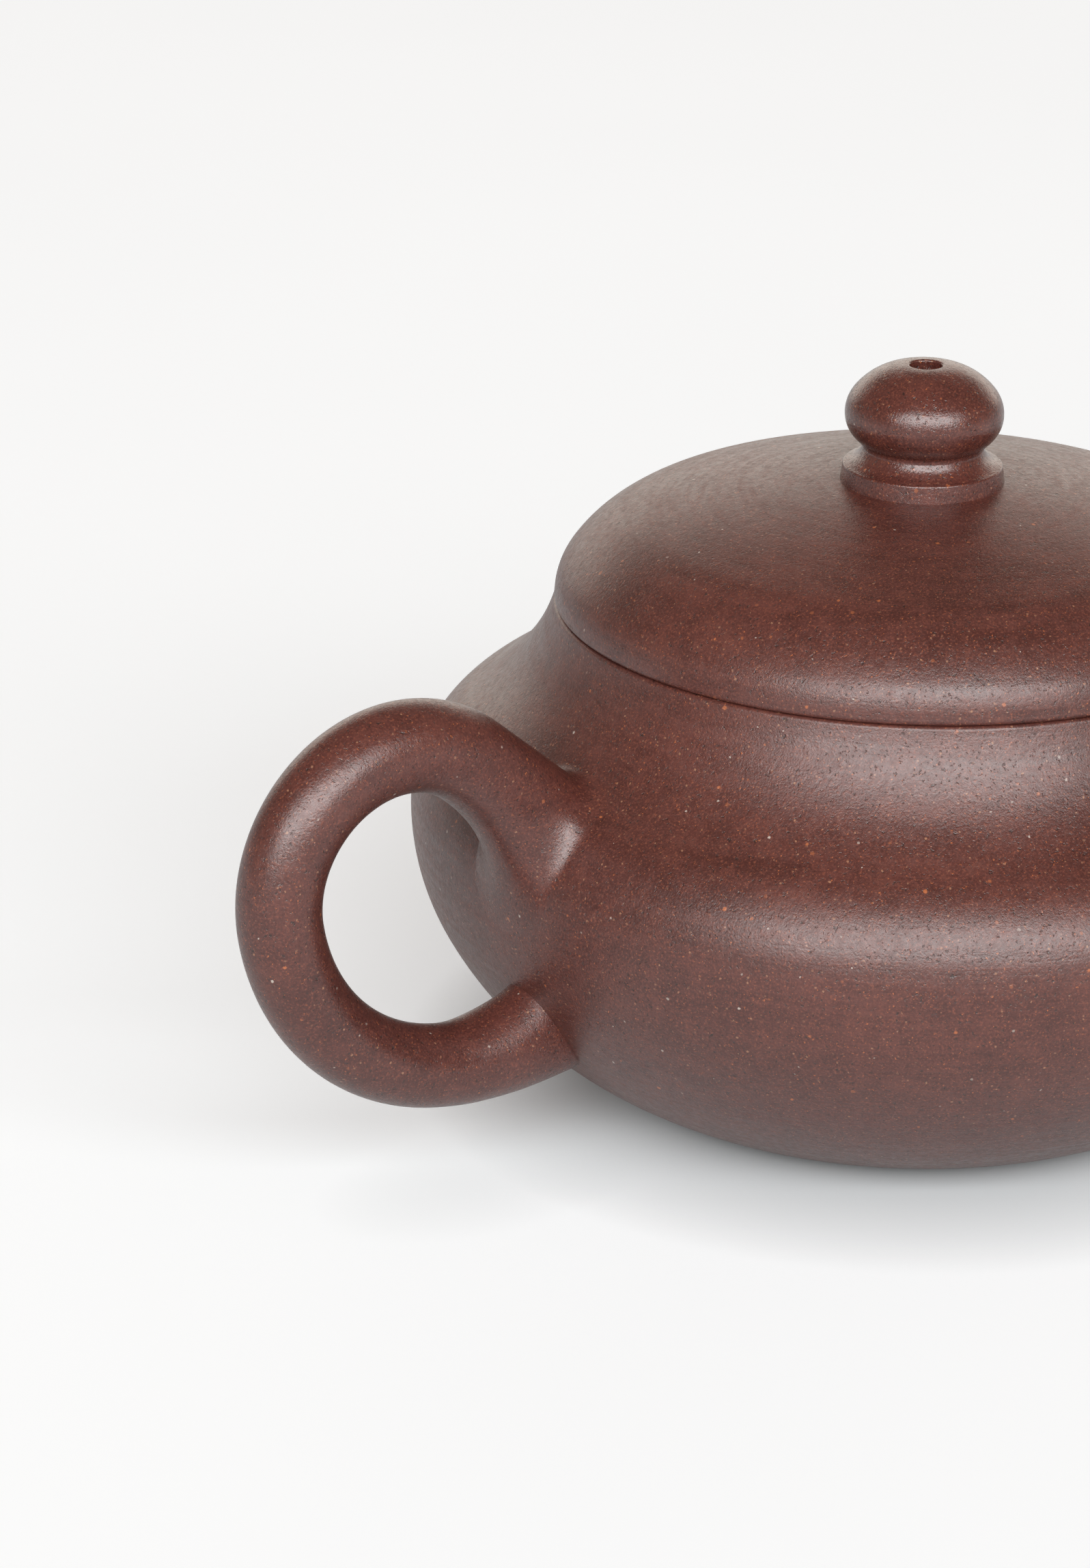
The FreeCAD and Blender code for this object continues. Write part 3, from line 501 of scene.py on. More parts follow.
def crown_height(lid, seam, out):
    """The height of the crown at a distance from the axis."""
    return seam + lid.rise - lid.crown_arc + math.sqrt(lid.crown_arc**2 - out**2)


def lid_outline(lid, pot):
    """The lid's section as a closed loop: flange, seat, rounded edge, crown, vent and the hollow inside."""
    seam = pot.seam_height
    crown, brow, edge = lid_curves(lid, seam)
    flange_out = pot.mouth_bore - lid.flange_gap
    flange_in = flange_out - lid.flange_wall
    foot = seam - lid.flange_drop
    middle = seam - lid.flange_drop / 2
    plate_top = seam + lid.plate
    high = heading(crown, brow)
    low = heading(brow, edge)
    start = math.asin(-lid.edge_lift / lid.edge_arc)
    vent = math.acos(lid.vent_radius / lid.crown_arc)
    over = np.concatenate(
        [
            arc(edge, lid.edge_arc, start, low, 60),
            arc(brow, lid.brow_arc, low, high, 70)[1:],
            arc(crown, lid.crown_arc, high, vent, 80)[1:],
        ]
    )
    inner_vent = math.acos(lid.vent_radius / (lid.crown_arc - lid.wall))
    inner_low = math.asin((plate_top - brow[1]) / (lid.brow_arc - lid.wall))
    under = np.concatenate(
        [
            arc(crown, lid.crown_arc - lid.wall, inner_vent, high, 40),
            arc(brow, lid.brow_arc - lid.wall, high, inner_low, 24)[1:],
        ]
    )
    return chained(
        straight((flange_in, middle), (flange_in, foot)),
        (lid.flange_round, straight((flange_in, foot), (flange_out, foot))),
        (lid.flange_round, straight((flange_out, foot), (flange_out, seam))),
        (lid.flange_gap, straight((flange_out, seam), over[0])),
        (lid.edge_round, over),
        (lid.vent_round, straight(over[-1], under[0])),
        (lid.flange_gap, under),
        (lid.flange_gap, straight(under[-1], (flange_in, plate_top))),
        (lid.flange_gap, straight((flange_in, plate_top), (flange_in, middle))),
    )


def knob_outline(lid, seam):
    """The section of the collar and the bead as a closed loop round the vent.

    The flare leaves the groove upright, and so does the bead's lower arc its widest ring. The radius of
    such an arc is the sum of the squares of its rise and its run, over twice its run. Above that ring
    a side arc touches a flatter top arc, which lies level at the rim of the vent.
    """

    def upright_arc(run, rise):
        return (run**2 + rise**2) / (2 * run)

    collar_edge = seam + lid.rise + lid.collar_rise
    waist = collar_edge + lid.waist_rise
    wide = waist + lid.bead_lower
    sink = lid.collar_round
    foot = np.array([lid.collar_foot, crown_height(lid, seam, lid.collar_foot)])
    foot_low = foot - [0.0, sink]
    bore_low = np.array([lid.vent_radius, crown_height(lid, seam, lid.vent_radius) - sink])
    middle_low = (foot_low + bore_low) / 2
    edge = np.array([lid.collar_radius, collar_edge])
    flare = upright_arc(lid.collar_radius - lid.waist_radius, lid.waist_rise)
    flare_middle = np.array([lid.waist_radius + flare, waist])
    lower = upright_arc(lid.bead_radius - lid.waist_radius, lid.bead_lower)
    lower_middle = np.array([lid.bead_radius - lower, wide])
    side = lid.bead_side_arc
    side_middle = np.array([lid.bead_radius - side, wide])
    across = side_middle[0] - lid.vent_radius
    over = (across**2 + lid.bead_upper**2 - side**2) / (2 * (lid.bead_upper - side))
    over_middle = np.array([lid.vent_radius, wide + lid.bead_upper - over])
    turn = heading(over_middle, side_middle)
    waist_point = np.array([lid.waist_radius, waist])
    top = np.array([lid.vent_radius, wide + lid.bead_upper])
    flare_start = heading(flare_middle, edge) % (2 * math.pi)
    bead = np.concatenate(
        [
            arc(lower_middle, lower, heading(lower_middle, waist_point), 0.0, 40),
            arc(side_middle, side, 0.0, turn, 30)[1:],
            arc(over_middle, over, turn, math.pi / 2, 40)[1:],
        ]
    )
    return chained(
        straight(middle_low, foot_low),
        (sink / 4, straight(foot_low, edge)),
        (lid.collar_round, arc(flare_middle, flare, flare_start, math.pi, 30)),
        (lid.waist_round, bead),
        (lid.vent_round, straight(top, bore_low, 20)),
        (sink / 4, straight(bore_low, middle_low)),
    )


def smooth_steps(where, stops, values):
    """Values between stops, each step eased in and out by the cubic 3u squared minus 2u cubed."""
    stops = np.asarray(stops, dtype=float)
    values = np.asarray(values, dtype=float)
    index = np.clip(np.searchsorted(stops, where, side="right") - 1, 0, len(stops) - 2)
    part = np.clip((where - stops[index]) / (stops[index + 1] - stops[index]), 0.0, 1.0)
    return values[index] + (values[index + 1] - values[index]) * part**2 * (3 - 2 * part)


def rod_points(path, where, radii, turn):
    """Points round a rod whose path lies in the upright plane through the axis.

    A point is the path's point at a distance along it, plus the radius times the cosine of its angle
    along the in-plane normal, plus the radius times its sine along Y. The path is (out, up) and the
    points come back as (out, y, up), with the direction of the path at each.
    """
    lengths = path_lengths(path)
    ahead = unit(np.gradient(path, axis=0))
    out, up, way_out, way_up = [
        np.interp(where, lengths, values) for values in (path[:, 0], path[:, 1], ahead[:, 0], ahead[:, 1])
    ]
    across = radii * np.cos(turn)
    points = np.stack([out - way_up * across, radii * np.sin(turn), up + way_out * across], axis=-1)
    way = np.stack(np.broadcast_arrays(way_out, 0.0 * across, way_up), axis=-1)
    return points, way


def inside_pot(side, rod):
    """Which points of a rod lie within the pot's side."""
    return np.hypot(rod[..., 0], rod[..., 1]) < np.interp(rod[..., 2], side[:, 1], side[:, 0])


def pot_exit(side, path, radii, turn):
    """Where each line of a rod leaves the pot for good.

    These are distances along the rod's path, distances along the pot's side and arcs round the pot.
    """
    where = path_lengths(path)
    rod = rod_points(path, where[:, None], radii, turn)[0]
    last = len(where) - 1 - np.argmax(inside_pot(side, rod)[::-1], axis=0)
    spot = rod[last, np.arange(len(turn))]
    swing = np.arctan2(spot[:, 1], spot[:, 0]) * np.hypot(spot[:, 0], spot[:, 1])
    return where[last], np.interp(spot[:, 2], side[:, 1], path_lengths(side)), swing


def side_place(side, rise, swing, rise_shift, swing_shift, sink):
    """Points on the pot's side, with the direction of their shift and the side's normal.

    A point is found by a distance along the side and an arc round the pot, both shifted; sink takes it
    into the wall.
    """
    lengths = path_lengths(side)
    where = rise + rise_shift
    radius = np.interp(where, lengths, side[:, 0])
    height = np.interp(where, lengths, side[:, 1])
    slope = unit(np.gradient(side, axis=0))
    slope_out = np.interp(where, lengths, slope[:, 0])
    slope_up = np.interp(where, lengths, slope[:, 1])
    turned = (swing + swing_shift) / radius
    still = np.zeros_like(turned)
    up = np.array([0.0, 0.0, 1.0])
    outward = np.stack([np.cos(turned), np.sin(turned), still], axis=-1)
    round_way = np.stack([-np.sin(turned), np.cos(turned), still], axis=-1)
    upward = slope_out[:, None] * outward + slope_up[:, None] * up
    normal = slope_up[:, None] * outward - slope_out[:, None] * up
    points = radius[:, None] * outward + height[:, None] * up - sink * normal
    away = unit(rise_shift[:, None] * upward + swing_shift[:, None] * round_way)
    return points, away, normal


def blend_start(sizes, leave, turn):
    """Where the blend starts on each line of a rod: a gap past the pot that is longest on the underside."""
    low = ((1 - np.cos(turn)) / 2) ** LOW_EASE
    return leave + sizes.root_gap + (sizes.root_gap_low - sizes.root_gap) * low


def hermite(part, first, leave, last, arrive):
    """The cubic between two ends with given rates of change at both, at shares of the way."""
    return (
        (2 * part**3 - 3 * part**2 + 1) * first
        + (part**3 - 2 * part**2 + part) * leave
        + (-2 * part**3 + 3 * part**2) * last
        + (part**3 - part**2) * arrive
    )


def blend_rings(ring, inward, foot, away):
    """Rings that run from the start of a blend down its rod and flow out over the pot's side.

    Each line is a cubic that leaves the ring along the rod and reaches the foot along the pot's surface,
    with the strengths that follow a quarter of an ellipse.
    """
    part = np.linspace(0.0, 1.0, BLEND_STEPS)[1:, None, None]
    step = foot - ring
    depth = np.sum(step * inward, axis=-1, keepdims=True)
    spread = np.linalg.norm(step - depth * inward, axis=-1, keepdims=True)
    return hermite(part, ring, QUARTER * depth * inward, foot, QUARTER * spread * away)


def root_rows(side, sizes, first, inward, rise, swing, turn):
    """Rows of points from a skirt inside the wall over the foot of a blend to the first ring of its rod.

    The foot is spread along the pot's side and round it by an ellipse with unlike upper and lower halves.
    """
    rise_shift = np.where(np.cos(turn) > 0, sizes.root_up, sizes.root_down) * np.cos(turn)
    swing_shift = sizes.root_side * np.sin(turn)
    foot, away, normal = side_place(side, rise, swing, rise_shift, swing_shift, FOOT_SINK)
    blend = blend_rings(first, inward, foot, away)
    return np.concatenate([(foot - normal * SKIRT)[None], blend[::-1]])


def handle_path(handle):
    """The handle's middle line as (out, up): an upper run, two arcs that touch and a lower run.

    The lower run rises towards the pot with the cube of the way along it.
    """
    upper = np.array([handle.out, handle.height])
    lead = np.array([math.cos(handle.slope), math.sin(handle.slope)])
    spring = upper + np.array([-lead[1], lead[0]]) * handle.upper_arc
    change = np.array([math.cos(handle.turn), -math.sin(handle.turn)])
    lower = upper + change * (handle.upper_arc - handle.lower_arc)
    bottom = lower - [0.0, handle.lower_arc]
    inner = spring - lead * handle.upper_arc
    end = bottom - [handle.lower_run, 0.0]
    path = np.concatenate(
        [
            np.linspace(inner, spring, RUN_STEPS),
            arc(upper, handle.upper_arc, math.pi / 2 + handle.slope, -handle.turn, ARC_STEPS)[1:],
            arc(lower, handle.lower_arc, -handle.turn, -math.pi / 2, 160)[1:],
            np.linspace(bottom, end, 80)[1:],
        ]
    )
    path[:, 1] += handle.foot_lift * handle_flare(handle, path_lengths(path))
    return path


def handle_stops(handle):
    """Distances along the handle's path to the end of the upper run, the change of arcs and the lower run."""
    change = handle.upper_arc * (1 + math.pi / 2 + handle.slope + handle.turn)
    return handle.upper_arc, change, change + handle.lower_arc * (math.pi / 2 - handle.turn)


def handle_flare(handle, where):
    """How far the foot has flared at distances along the path: the cube of the share of its run."""
    lead = where - handle_stops(handle)[2] + FLARE_LEAD
    return np.clip(lead / (handle.lower_run + FLARE_LEAD), 0.0, 1.0) ** 3


def handle_radii(handle, where, turn):
    """The rod's radius at distances along the path and angles round it.

    It is thickest at the upper end and at the flared foot, which is narrower from side to side.
    """
    upper_end, change, heel = handle_stops(handle)
    top, side, low = handle.top_radius, handle.side_radius, handle.heel_radius
    stops = [0.0, upper_end, change, heel - FLARE_LEAD, heel + FLARE_LEAD]
    radii = smooth_steps(where, stops, [top, top, side, side, low])
    flared = handle.foot_radius + (handle.foot_side - handle.foot_radius) * np.sin(turn) ** 2
    return radii + (flared - low) * handle_flare(handle, where)


def handle_skin(handle, pot):
    """Points and faces of the handle: the blend at its upper root, the rod and the flared lower end.

    Each line of the foot ends a little way into the pot's wall, where a pole closes them; another pole
    closes the skirt of the upper blend there.
    """
    turn = np.linspace(0.0, 2 * np.pi, RING_STEPS, endpoint=False)
    side = pot_side(pot, 0.0, 0.0, pot.seam_height, SIDE_STEPS)
    path = handle_path(handle)
    run = path[:RUN_STEPS]
    leave, rise, swing = pot_exit(side, run, handle_radii(handle, path_lengths(run)[:, None], turn), turn)
    begin = blend_start(handle, leave, turn)
    low = np.linspace(handle_stops(handle)[2] - FLARE_LEAD, path_lengths(path)[-1], FOOT_STEPS)
    foot = rod_points(path, low[:, None], handle_radii(handle, low[:, None], turn), turn)[0]
    end = low[np.argmax(inside_pot(side, foot), axis=0)] + handle.foot_depth
    part = np.linspace(0.0, 1.0, PATH_STEPS)[:, None]
    where = begin + (end - begin) * part
    rings, ahead = rod_points(path, where, handle_radii(handle, where, turn), turn)
    root = root_rows(side, handle, rings[0], -ahead[0], rise, swing, turn)
    rows = np.concatenate([root, rings])
    rows[..., :2] *= -1.0
    poles = np.stack([rows[0].mean(axis=0), rows[-1].mean(axis=0)])
    points = np.concatenate([rows.reshape(-1, 3), poles])
    count = rows.shape[0] * RING_STEPS
    faces = [
        grid_faces(rows.shape[0], RING_STEPS)[:, ::-1],
        fan_faces(count, 0, RING_STEPS, False),
        fan_faces(count + 1, count - RING_STEPS, RING_STEPS, True),
    ]
    return points, faces


def spout_path(spout):
    """The spout's middle line and radii through its four rings, by cubics with the rings' own slopes."""
    stations = np.array(
        [
            [spout.root_out, spout.root_height],
            [spout.bend_out, spout.bend_height],
            [spout.neck_out, spout.neck_height],
            [spout.tip_out, spout.tip_height],
        ]
    )
    slopes = np.array([spout.root_slope, spout.bend_slope, spout.neck_slope, math.pi / 2])
    radii = np.array([spout.root_radius, spout.bend_radius, spout.neck_radius, spout.tip_radius])
    gaps = np.linalg.norm(np.diff(stations, axis=0), axis=1)
    stops = np.concatenate([[0.0], np.cumsum(gaps)])
    ahead = np.stack([np.cos(slopes), np.sin(slopes)], axis=1)
    tapers = np.gradient(radii, stops)
    tapers[-1] = 0.0
    where = np.linspace(0.0, stops[-1], SPOUT_STEPS)
    index = np.clip(np.searchsorted(stops, where, side="right") - 1, 0, len(gaps) - 1)
    part = ((where - stops[index]) / gaps[index])[:, None]
    ends = np.concatenate([stations, radii[:, None]], axis=1)
    rates = np.concatenate([ahead, tapers[:, None]], axis=1)
    gap = gaps[index][:, None]
    found = hermite(part, ends[index], rates[index] * gap, ends[index + 1], rates[index + 1] * gap)
    return found[:, :2], found[:, 2]


def spout_skin(spout, pot):
    """Points and faces of the spout: root blend, outside, rounded tip, bore and the seat in the wall.

    The rows of rings close on themselves, so the spout is one ring-shaped skin with a bore through it.
    """
    turn = np.linspace(0.0, 2 * np.pi, RING_STEPS, endpoint=False)
    side = pot_side(pot, 0.0, 0.0, pot.seam_height, SIDE_STEPS)
    path, radii = spout_path(spout)
    lengths = path_lengths(path)
    leave, rise, swing = pot_exit(side, path, radii[:, None], turn)
    begin = blend_start(spout, leave, turn)
    rim = spout.wall / 2
    part = np.linspace(0.0, 1.0, TUBE_STEPS)[:, None]
    where = begin + (lengths[-1] - rim - begin) * part
    outer, ahead = rod_points(path, where, np.interp(where, lengths, radii), turn)
    bore_leave, bore_rise, bore_swing = pot_exit(side, path, radii[:, None] - spout.wall, turn)
    bore_begin = bore_leave + SKIRT
    bore_where = bore_begin + (lengths[-1] - rim - bore_begin) * part
    bore = rod_points(path, bore_where, np.interp(bore_where, lengths, radii) - spout.wall, turn)[0]
    bend = np.linspace(0.0, np.pi, RIM_STEPS)[1:-1]
    tip_line = path[-1] + np.stack([np.zeros_like(bend), rim * np.sin(bend) - rim], axis=1)
    tip_radii = spout.tip_radius - rim + rim * np.cos(bend)
    tip_flat = np.stack([-np.cos(turn), np.sin(turn)], axis=1)
    tip = np.concatenate(
        [
            tip_line[:, None, :1] + tip_radii[:, None, None] * tip_flat[None, :, :1],
            tip_radii[:, None, None] * tip_flat[None, :, 1:],
            np.broadcast_to(tip_line[:, None, 1:], (len(bend), RING_STEPS, 1)),
        ],
        axis=-1,
    )
    root = root_rows(side, spout, outer[0], -ahead[0], rise, swing, turn)
    still = np.zeros_like(turn)
    seat = side_place(side, bore_rise, bore_swing, still + FOOT_SINK, still, SKIRT)[0]
    rows = np.concatenate([root, outer, tip, bore[::-1], seat[None]])
    return rows.reshape(-1, 3), [grid_faces(rows.shape[0], RING_STEPS, wrap=True)[:, ::-1]]


def strainer_cutter(pot):
    """Round rods along X at the strainer's places: a middle one and a ring of others around it."""
    spots = np.arange(pot.strainer_count) * 2 * np.pi / pot.strainer_count
    sideways = np.concatenate([[0.0], pot.strainer_ring * np.sin(spots)])
    upward = pot.strainer_height + np.concatenate([[0.0], pot.strainer_ring * np.cos(spots)])
    turn = np.linspace(0.0, 2 * np.pi, HOLE_STEPS, endpoint=False)
    ends = np.array([pot.equator_radius * 0.7, pot.equator_radius * 1.2])
    shape = (len(spots) + 1, 2, HOLE_STEPS)
    points = np.stack(
        [
            np.broadcast_to(ends[None, :, None], shape),
            np.broadcast_to(sideways[:, None, None] + pot.strainer_hole * np.cos(turn), shape),
            np.broadcast_to(upward[:, None, None] + pot.strainer_hole * np.sin(turn), shape),
        ],
        axis=-1,
    ).reshape(-1, 3)
    first = np.arange(shape[0])[:, None] * 2 * HOLE_STEPS
    wall = (grid_faces(2, HOLE_STEPS)[None] + first[..., None]).reshape(-1, 4)
    near = np.arange(HOLE_STEPS)[::-1] + first
    far = np.arange(HOLE_STEPS) + HOLE_STEPS + first
    return skin_object("strainer_cutter", points, [wall, near, far])


def pierced(piece, cutter):
    """The piece with another object's form cut out of it for good, its hole rims left sharp."""
    cut = piece.modifiers.new("pierce", "BOOLEAN")
    cut.object = cutter
    cut.operation = "DIFFERENCE"
    cut.solver = "EXACT"
    found = piece.evaluated_get(bpy.context.evaluated_depsgraph_get())
    mesh = bpy.data.meshes.new_from_object(found)
    piece.modifiers.clear()
    old = piece.data
    mesh.name = old.name + "_pierced"
    mesh.shade_smooth()
    mesh.set_sharp_from_angle(angle=HOLE_CREASE)
    piece.data = mesh
    bpy.data.meshes.remove(old)
    bpy.data.objects.remove(cutter)
    return piece


def feed(tree, socket, value):
    """Link a socket to another node's output, or set it to a plain value."""
    if isinstance(value, bpy.types.NodeSocket):
        tree.links.new(value, socket)
    else:
        socket.default_value = value


def add(tree, kind, links=None, **settings):
    """A node with settings, its inputs given by name or number as values or as outputs of other nodes."""
    made = tree.nodes.new(kind)
    for key, value in settings.items():
        setattr(made, key, value)
    for key, value in (links or {}).items():
        feed(tree, made.inputs[key], value)
    return made


def math_of(tree, operation, *values):
    """The output of a math node."""
    return add(tree, "ShaderNodeMath", dict(enumerate(values)), operation=operation).outputs[0]


def weighted(tree, *terms):
    """The sum of values, each times its weight."""
    total = math_of(tree, "MULTIPLY", *terms[0])
    for value, weight in terms[1:]:
        total = math_of(tree, "ADD", total, math_of(tree, "MULTIPLY", value, weight))
    return total


def ramp_of(tree, value, low, high, to_low=0.0, to_high=1.0):
    """A value carried from one range to another, eased at both ends."""
    links = {"Value": value, "From Min": low, "From Max": high, "To Min": to_low, "To Max": to_high}
    return add(tree, "ShaderNodeMapRange", links, interpolation_type="SMOOTHSTEP").outputs["Result"]


def mix_of(tree, factor, first, second):
    """The colour output of a mix node."""
    made = add(tree, "ShaderNodeMix", data_type="RGBA")
    colours = [socket for socket in made.inputs if socket.type == "RGBA"]
    for socket, value in zip([made.inputs[0], *colours], [factor, first, second]):
        feed(tree, socket, value)
    return [socket for socket in made.outputs if socket.type == "RGBA"][0]


def noise_of(tree, vector, scale, detail=2.0, roughness=0.5):
    """The value of a noise texture."""
    links = {"Vector": vector, "Scale": scale, "Detail": detail, "Roughness": roughness}
    return add(tree, "ShaderNodeTexNoise", links).outputs[0]


def vector_of(tree, operation, links):
    """The first output of a vector math node."""
    return add(tree, "ShaderNodeVectorMath", links, operation=operation).outputs[0]


def rgba(values):
    """A colour with full alpha."""
    return (*values, 1.0)


def new_group(name, inputs, outputs):
    """An empty shader node group with named sockets, and its input and output nodes."""
    group = bpy.data.node_groups.new(name, "ShaderNodeTree")
    for label, kind, default in inputs:
        socket = group.interface.new_socket(label, in_out="INPUT", socket_type=kind)
        if default is not None:
            socket.default_value = default
    for label, kind in outputs:
        group.interface.new_socket(label, in_out="OUTPUT", socket_type=kind)
    return group, group.nodes.new("NodeGroupInput").outputs, group.nodes.new("NodeGroupOutput")


def speck_group():
    """Scattered grains: in some of the cells of a cell pattern, a disc about the cell's own point."""
    if "clay_specks" in bpy.data.node_groups:
        return bpy.data.node_groups["clay_specks"]
    group, given, out = new_group(
        "clay_specks",
        [
            ("Vector", "NodeSocketVector", None),
            ("Density", "NodeSocketFloat", 1.0),
            ("Reach", "NodeSocketFloat", 0.2),
            ("Chance", "NodeSocketFloat", 0.3),
        ],
        [("Mask", "NodeSocketFloat")],
    )
    warp = add(group, "ShaderNodeTexNoise", {"Vector": given["Vector"], "Scale": 3.0, "Detail": 2.0})
    shift = vector_of(group, "SCALE", {0: warp.outputs["Color"], "Scale": GRAIN_WARP})
    place = vector_of(group, "ADD", {0: given["Vector"], 1: shift})
    cells = add(group, "ShaderNodeTexVoronoi", {"Vector": place, "Scale": given["Density"]})
    dice = add(group, "ShaderNodeSeparateColor", {"Color": cells.outputs["Color"]}).outputs
    wanted = math_of(group, "LESS_THAN", dice[0], given["Chance"])
    size = math_of(group, "MULTIPLY", given["Reach"], ramp_of(group, dice[1], 0.0, 1.0, GRAIN_LEAST))
    inner = math_of(group, "MULTIPLY", size, GRAIN_CORE)
    disc = math_of(group, "SUBTRACT", 1.0, ramp_of(group, cells.outputs["Distance"], inner, size))
    strength = math_of(group, "MULTIPLY", wanted, ramp_of(group, dice[2], 0.0, 1.0, GRAIN_LEAST))
    group.links.new(math_of(group, "MULTIPLY", disc, strength), out.inputs["Mask"])
    return group


def specks(tree, vector, density, reach, chance):
    """The mask of a layer of grains; density is cells to the millimetre, reach a share of a cell."""
    links = {"Vector": vector, "Density": density, "Reach": reach, "Chance": chance}
    return add(tree, "ShaderNodeGroup", links, node_tree=speck_group()).outputs["Mask"]


def clay_group(look):
    """Burnished clay over Object coordinates in millimetres: tone, grains, painted shade in the pits, grain
    relief and turning marks.

    Turning marks read noise at (cos t, sin t) and (r + z), so they run round the axis with no seam.
    """
    if "clay_skin" in bpy.data.node_groups:
        return bpy.data.node_groups["clay_skin"]
    group, given, out = new_group(
        "clay_skin",
        [
            ("Turning", "NodeSocketFloat", 1.0),
            ("Polish", "NodeSocketFloat", 0.0),
        ],
        [("Color", "NodeSocketColor"), ("Roughness", "NodeSocketFloat"), ("Height", "NodeSocketFloat")],
    )
    place = group.nodes.new("ShaderNodeTexCoord").outputs["Object"]
    spot = vector_of(group, "SCALE", {0: place, "Scale": 1000.0})
    axes = add(group, "ShaderNodeSeparateXYZ", {0: spot}).outputs
    ground = add(group, "ShaderNodeCombineXYZ", {0: axes[0], 1: axes[1]}).outputs[0]
    reach = add(group, "ShaderNodeVectorMath", {0: ground}, operation="LENGTH").outputs["Value"]
    away = math_of(group, "ADD", reach, 0.01)
    circle_x = math_of(group, "MULTIPLY", math_of(group, "DIVIDE", axes[0], away), MARKS_ROUND)
    circle_y = math_of(group, "MULTIPLY", math_of(group, "DIVIDE", axes[1], away), MARKS_ROUND)
    rings = math_of(group, "MULTIPLY", math_of(group, "ADD", away, axes[2]), MARKS_ALONG)
    turning_place = add(group, "ShaderNodeCombineXYZ", {0: circle_x, 1: circle_y, 2: rings}).outputs[0]

    kinds = (BROAD, MOTTLE, FINE, PORES, FLECKS)
    broad, mottle, fine, pores, flecks = [noise_of(group, spot, *kind) for kind in kinds]
    pits = ramp_of(group, noise_of(group, spot, *PITS), 0.38, 0.28)
    marks = math_of(group, "SUBTRACT", noise_of(group, turning_place, *MARKS), 0.5)
    marks = math_of(group, "MULTIPLY", marks, given["Turning"])

    tone = weighted(group, (broad, 0.2), (mottle, 0.25), (fine, 0.55), (marks, 0.2))
    shade = mix_of(group, ramp_of(group, tone, 0.34, 0.66), rgba(look.dark), rgba(look.light))
    clouds = math_of(group, "MULTIPLY", ramp_of(group, mottle, 0.5, 0.72), ramp_of(group, pores, 0.4, 0.65))
    layers = [
        (clouds, look.warm, 0.3),
        (ramp_of(group, fine, 0.55, 0.72), look.red, 0.5),
        # Painted shade: the pits of the relief are darkened, as the shade inside the pinholes.
        (pits, look.painted_pit_shade, 0.8),
        (ramp_of(group, flecks, 0.69, 0.77), look.orange, 0.75),
        (specks(group, spot, *TAN_GRAINS), look.tan, 0.75),
        (specks(group, spot, *ORANGE_GRAINS), look.orange, 0.85),
        (specks(group, spot, *PALE_GRAINS), look.pale, 0.85),
    ]
    for mask, tint, strength in layers:
        shade = mix_of(group, math_of(group, "MULTIPLY", mask, strength), shade, rgba(tint))
    group.links.new(shade, out.inputs["Color"])

    sheen = weighted(group, (pores, 0.6), (marks, 0.5))
    smoothest = look.roughness - look.roughness_spread / 2
    satin = ramp_of(group, sheen, 0.1, 0.55, smoothest, smoothest + look.roughness_spread)
    group.links.new(math_of(group, "SUBTRACT", satin, given["Polish"]), out.inputs["Roughness"])
    relief = weighted(group, (pores, 0.3), (fine, 0.45), (marks, 0.4), (pits, -0.45))
    group.links.new(relief, out.inputs["Height"])
    return group


def clay_material(name, look, turning, polish=0.0):
    """Unglazed clay: the shared clay skin in a satin shader, with its relief as a bump."""
    made = bpy.data.materials.new(name)
    made.use_nodes = True
    tree = made.node_tree
    shader = tree.nodes["Principled BSDF"]
    links = {"Turning": turning, "Polish": polish}
    skin = add(tree, "ShaderNodeGroup", links, node_tree=clay_group(look))
    tree.links.new(skin.outputs["Color"], shader.inputs["Base Color"])
    tree.links.new(skin.outputs["Roughness"], shader.inputs["Roughness"])
    links = {"Strength": look.grain, "Distance": RELIEF_DEPTH, "Height": skin.outputs["Height"]}
    bump = add(tree, "ShaderNodeBump", links)
    tree.links.new(bump.outputs["Normal"], shader.inputs["Normal"])
    shader.inputs["IOR"].default_value = look.ior
    made.diffuse_color = rgba(look.light)
    return made


def settled(piece, body, material, *nodes):
    """A finished piece: its material, the body that it rides on and the solids that it stands for."""
    piece.data.materials.clear()
    piece.data.materials.append(material)
    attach(piece, body)
    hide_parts(*nodes)
    return piece


class TEAPOT_OT_pot(bpy.types.Operator):
    """Turn the pot's wall, base, mouth and floor, and pierce the strainer"""

    bl_idname = "teapot.pot"
    bl_label = "Pot"

    def execute(self, context):
        scene = context.scene
        piece = turned_pole_piece("pot_shell", pot_outline(scene.pot_sizes))
        pierced(piece, strainer_cutter(scene.pot_sizes))
        material = clay_material("pot_clay", scene.clay_look, 1.0)
        settled(piece, "pot", material, "base_disc", "belly_wall", "shoulder_wall", "mouth_ring")
        return {"FINISHED"}


class TEAPOT_OT_handle(bpy.types.Operator):
    """Sweep the handle along its path and blend its upper root into the shoulder"""

    bl_idname = "teapot.handle"
    bl_label = "Handle"

    def execute(self, context):
        scene = context.scene
        piece = skin_object("ear_handle", *handle_skin(scene.handle_sizes, scene.pot_sizes), CREASE)
        material = clay_material("handle_clay", scene.clay_look, 0.0, scene.clay_look.grip_polish)
        settled(piece, "pot", material, "handle")
        return {"FINISHED"}


class TEAPOT_OT_spout(bpy.types.Operator):
    """Sweep the spout through its rings, with its bore and its blended root"""

    bl_idname = "teapot.spout"
    bl_label = "Spout"

    def execute(self, context):
        scene = context.scene
        piece = skin_object("pouring_spout", *spout_skin(scene.spout_sizes, scene.pot_sizes), CREASE)
        settled(piece, "pot", clay_material("spout_clay", scene.clay_look, 0.0), "spout")
        return {"FINISHED"}


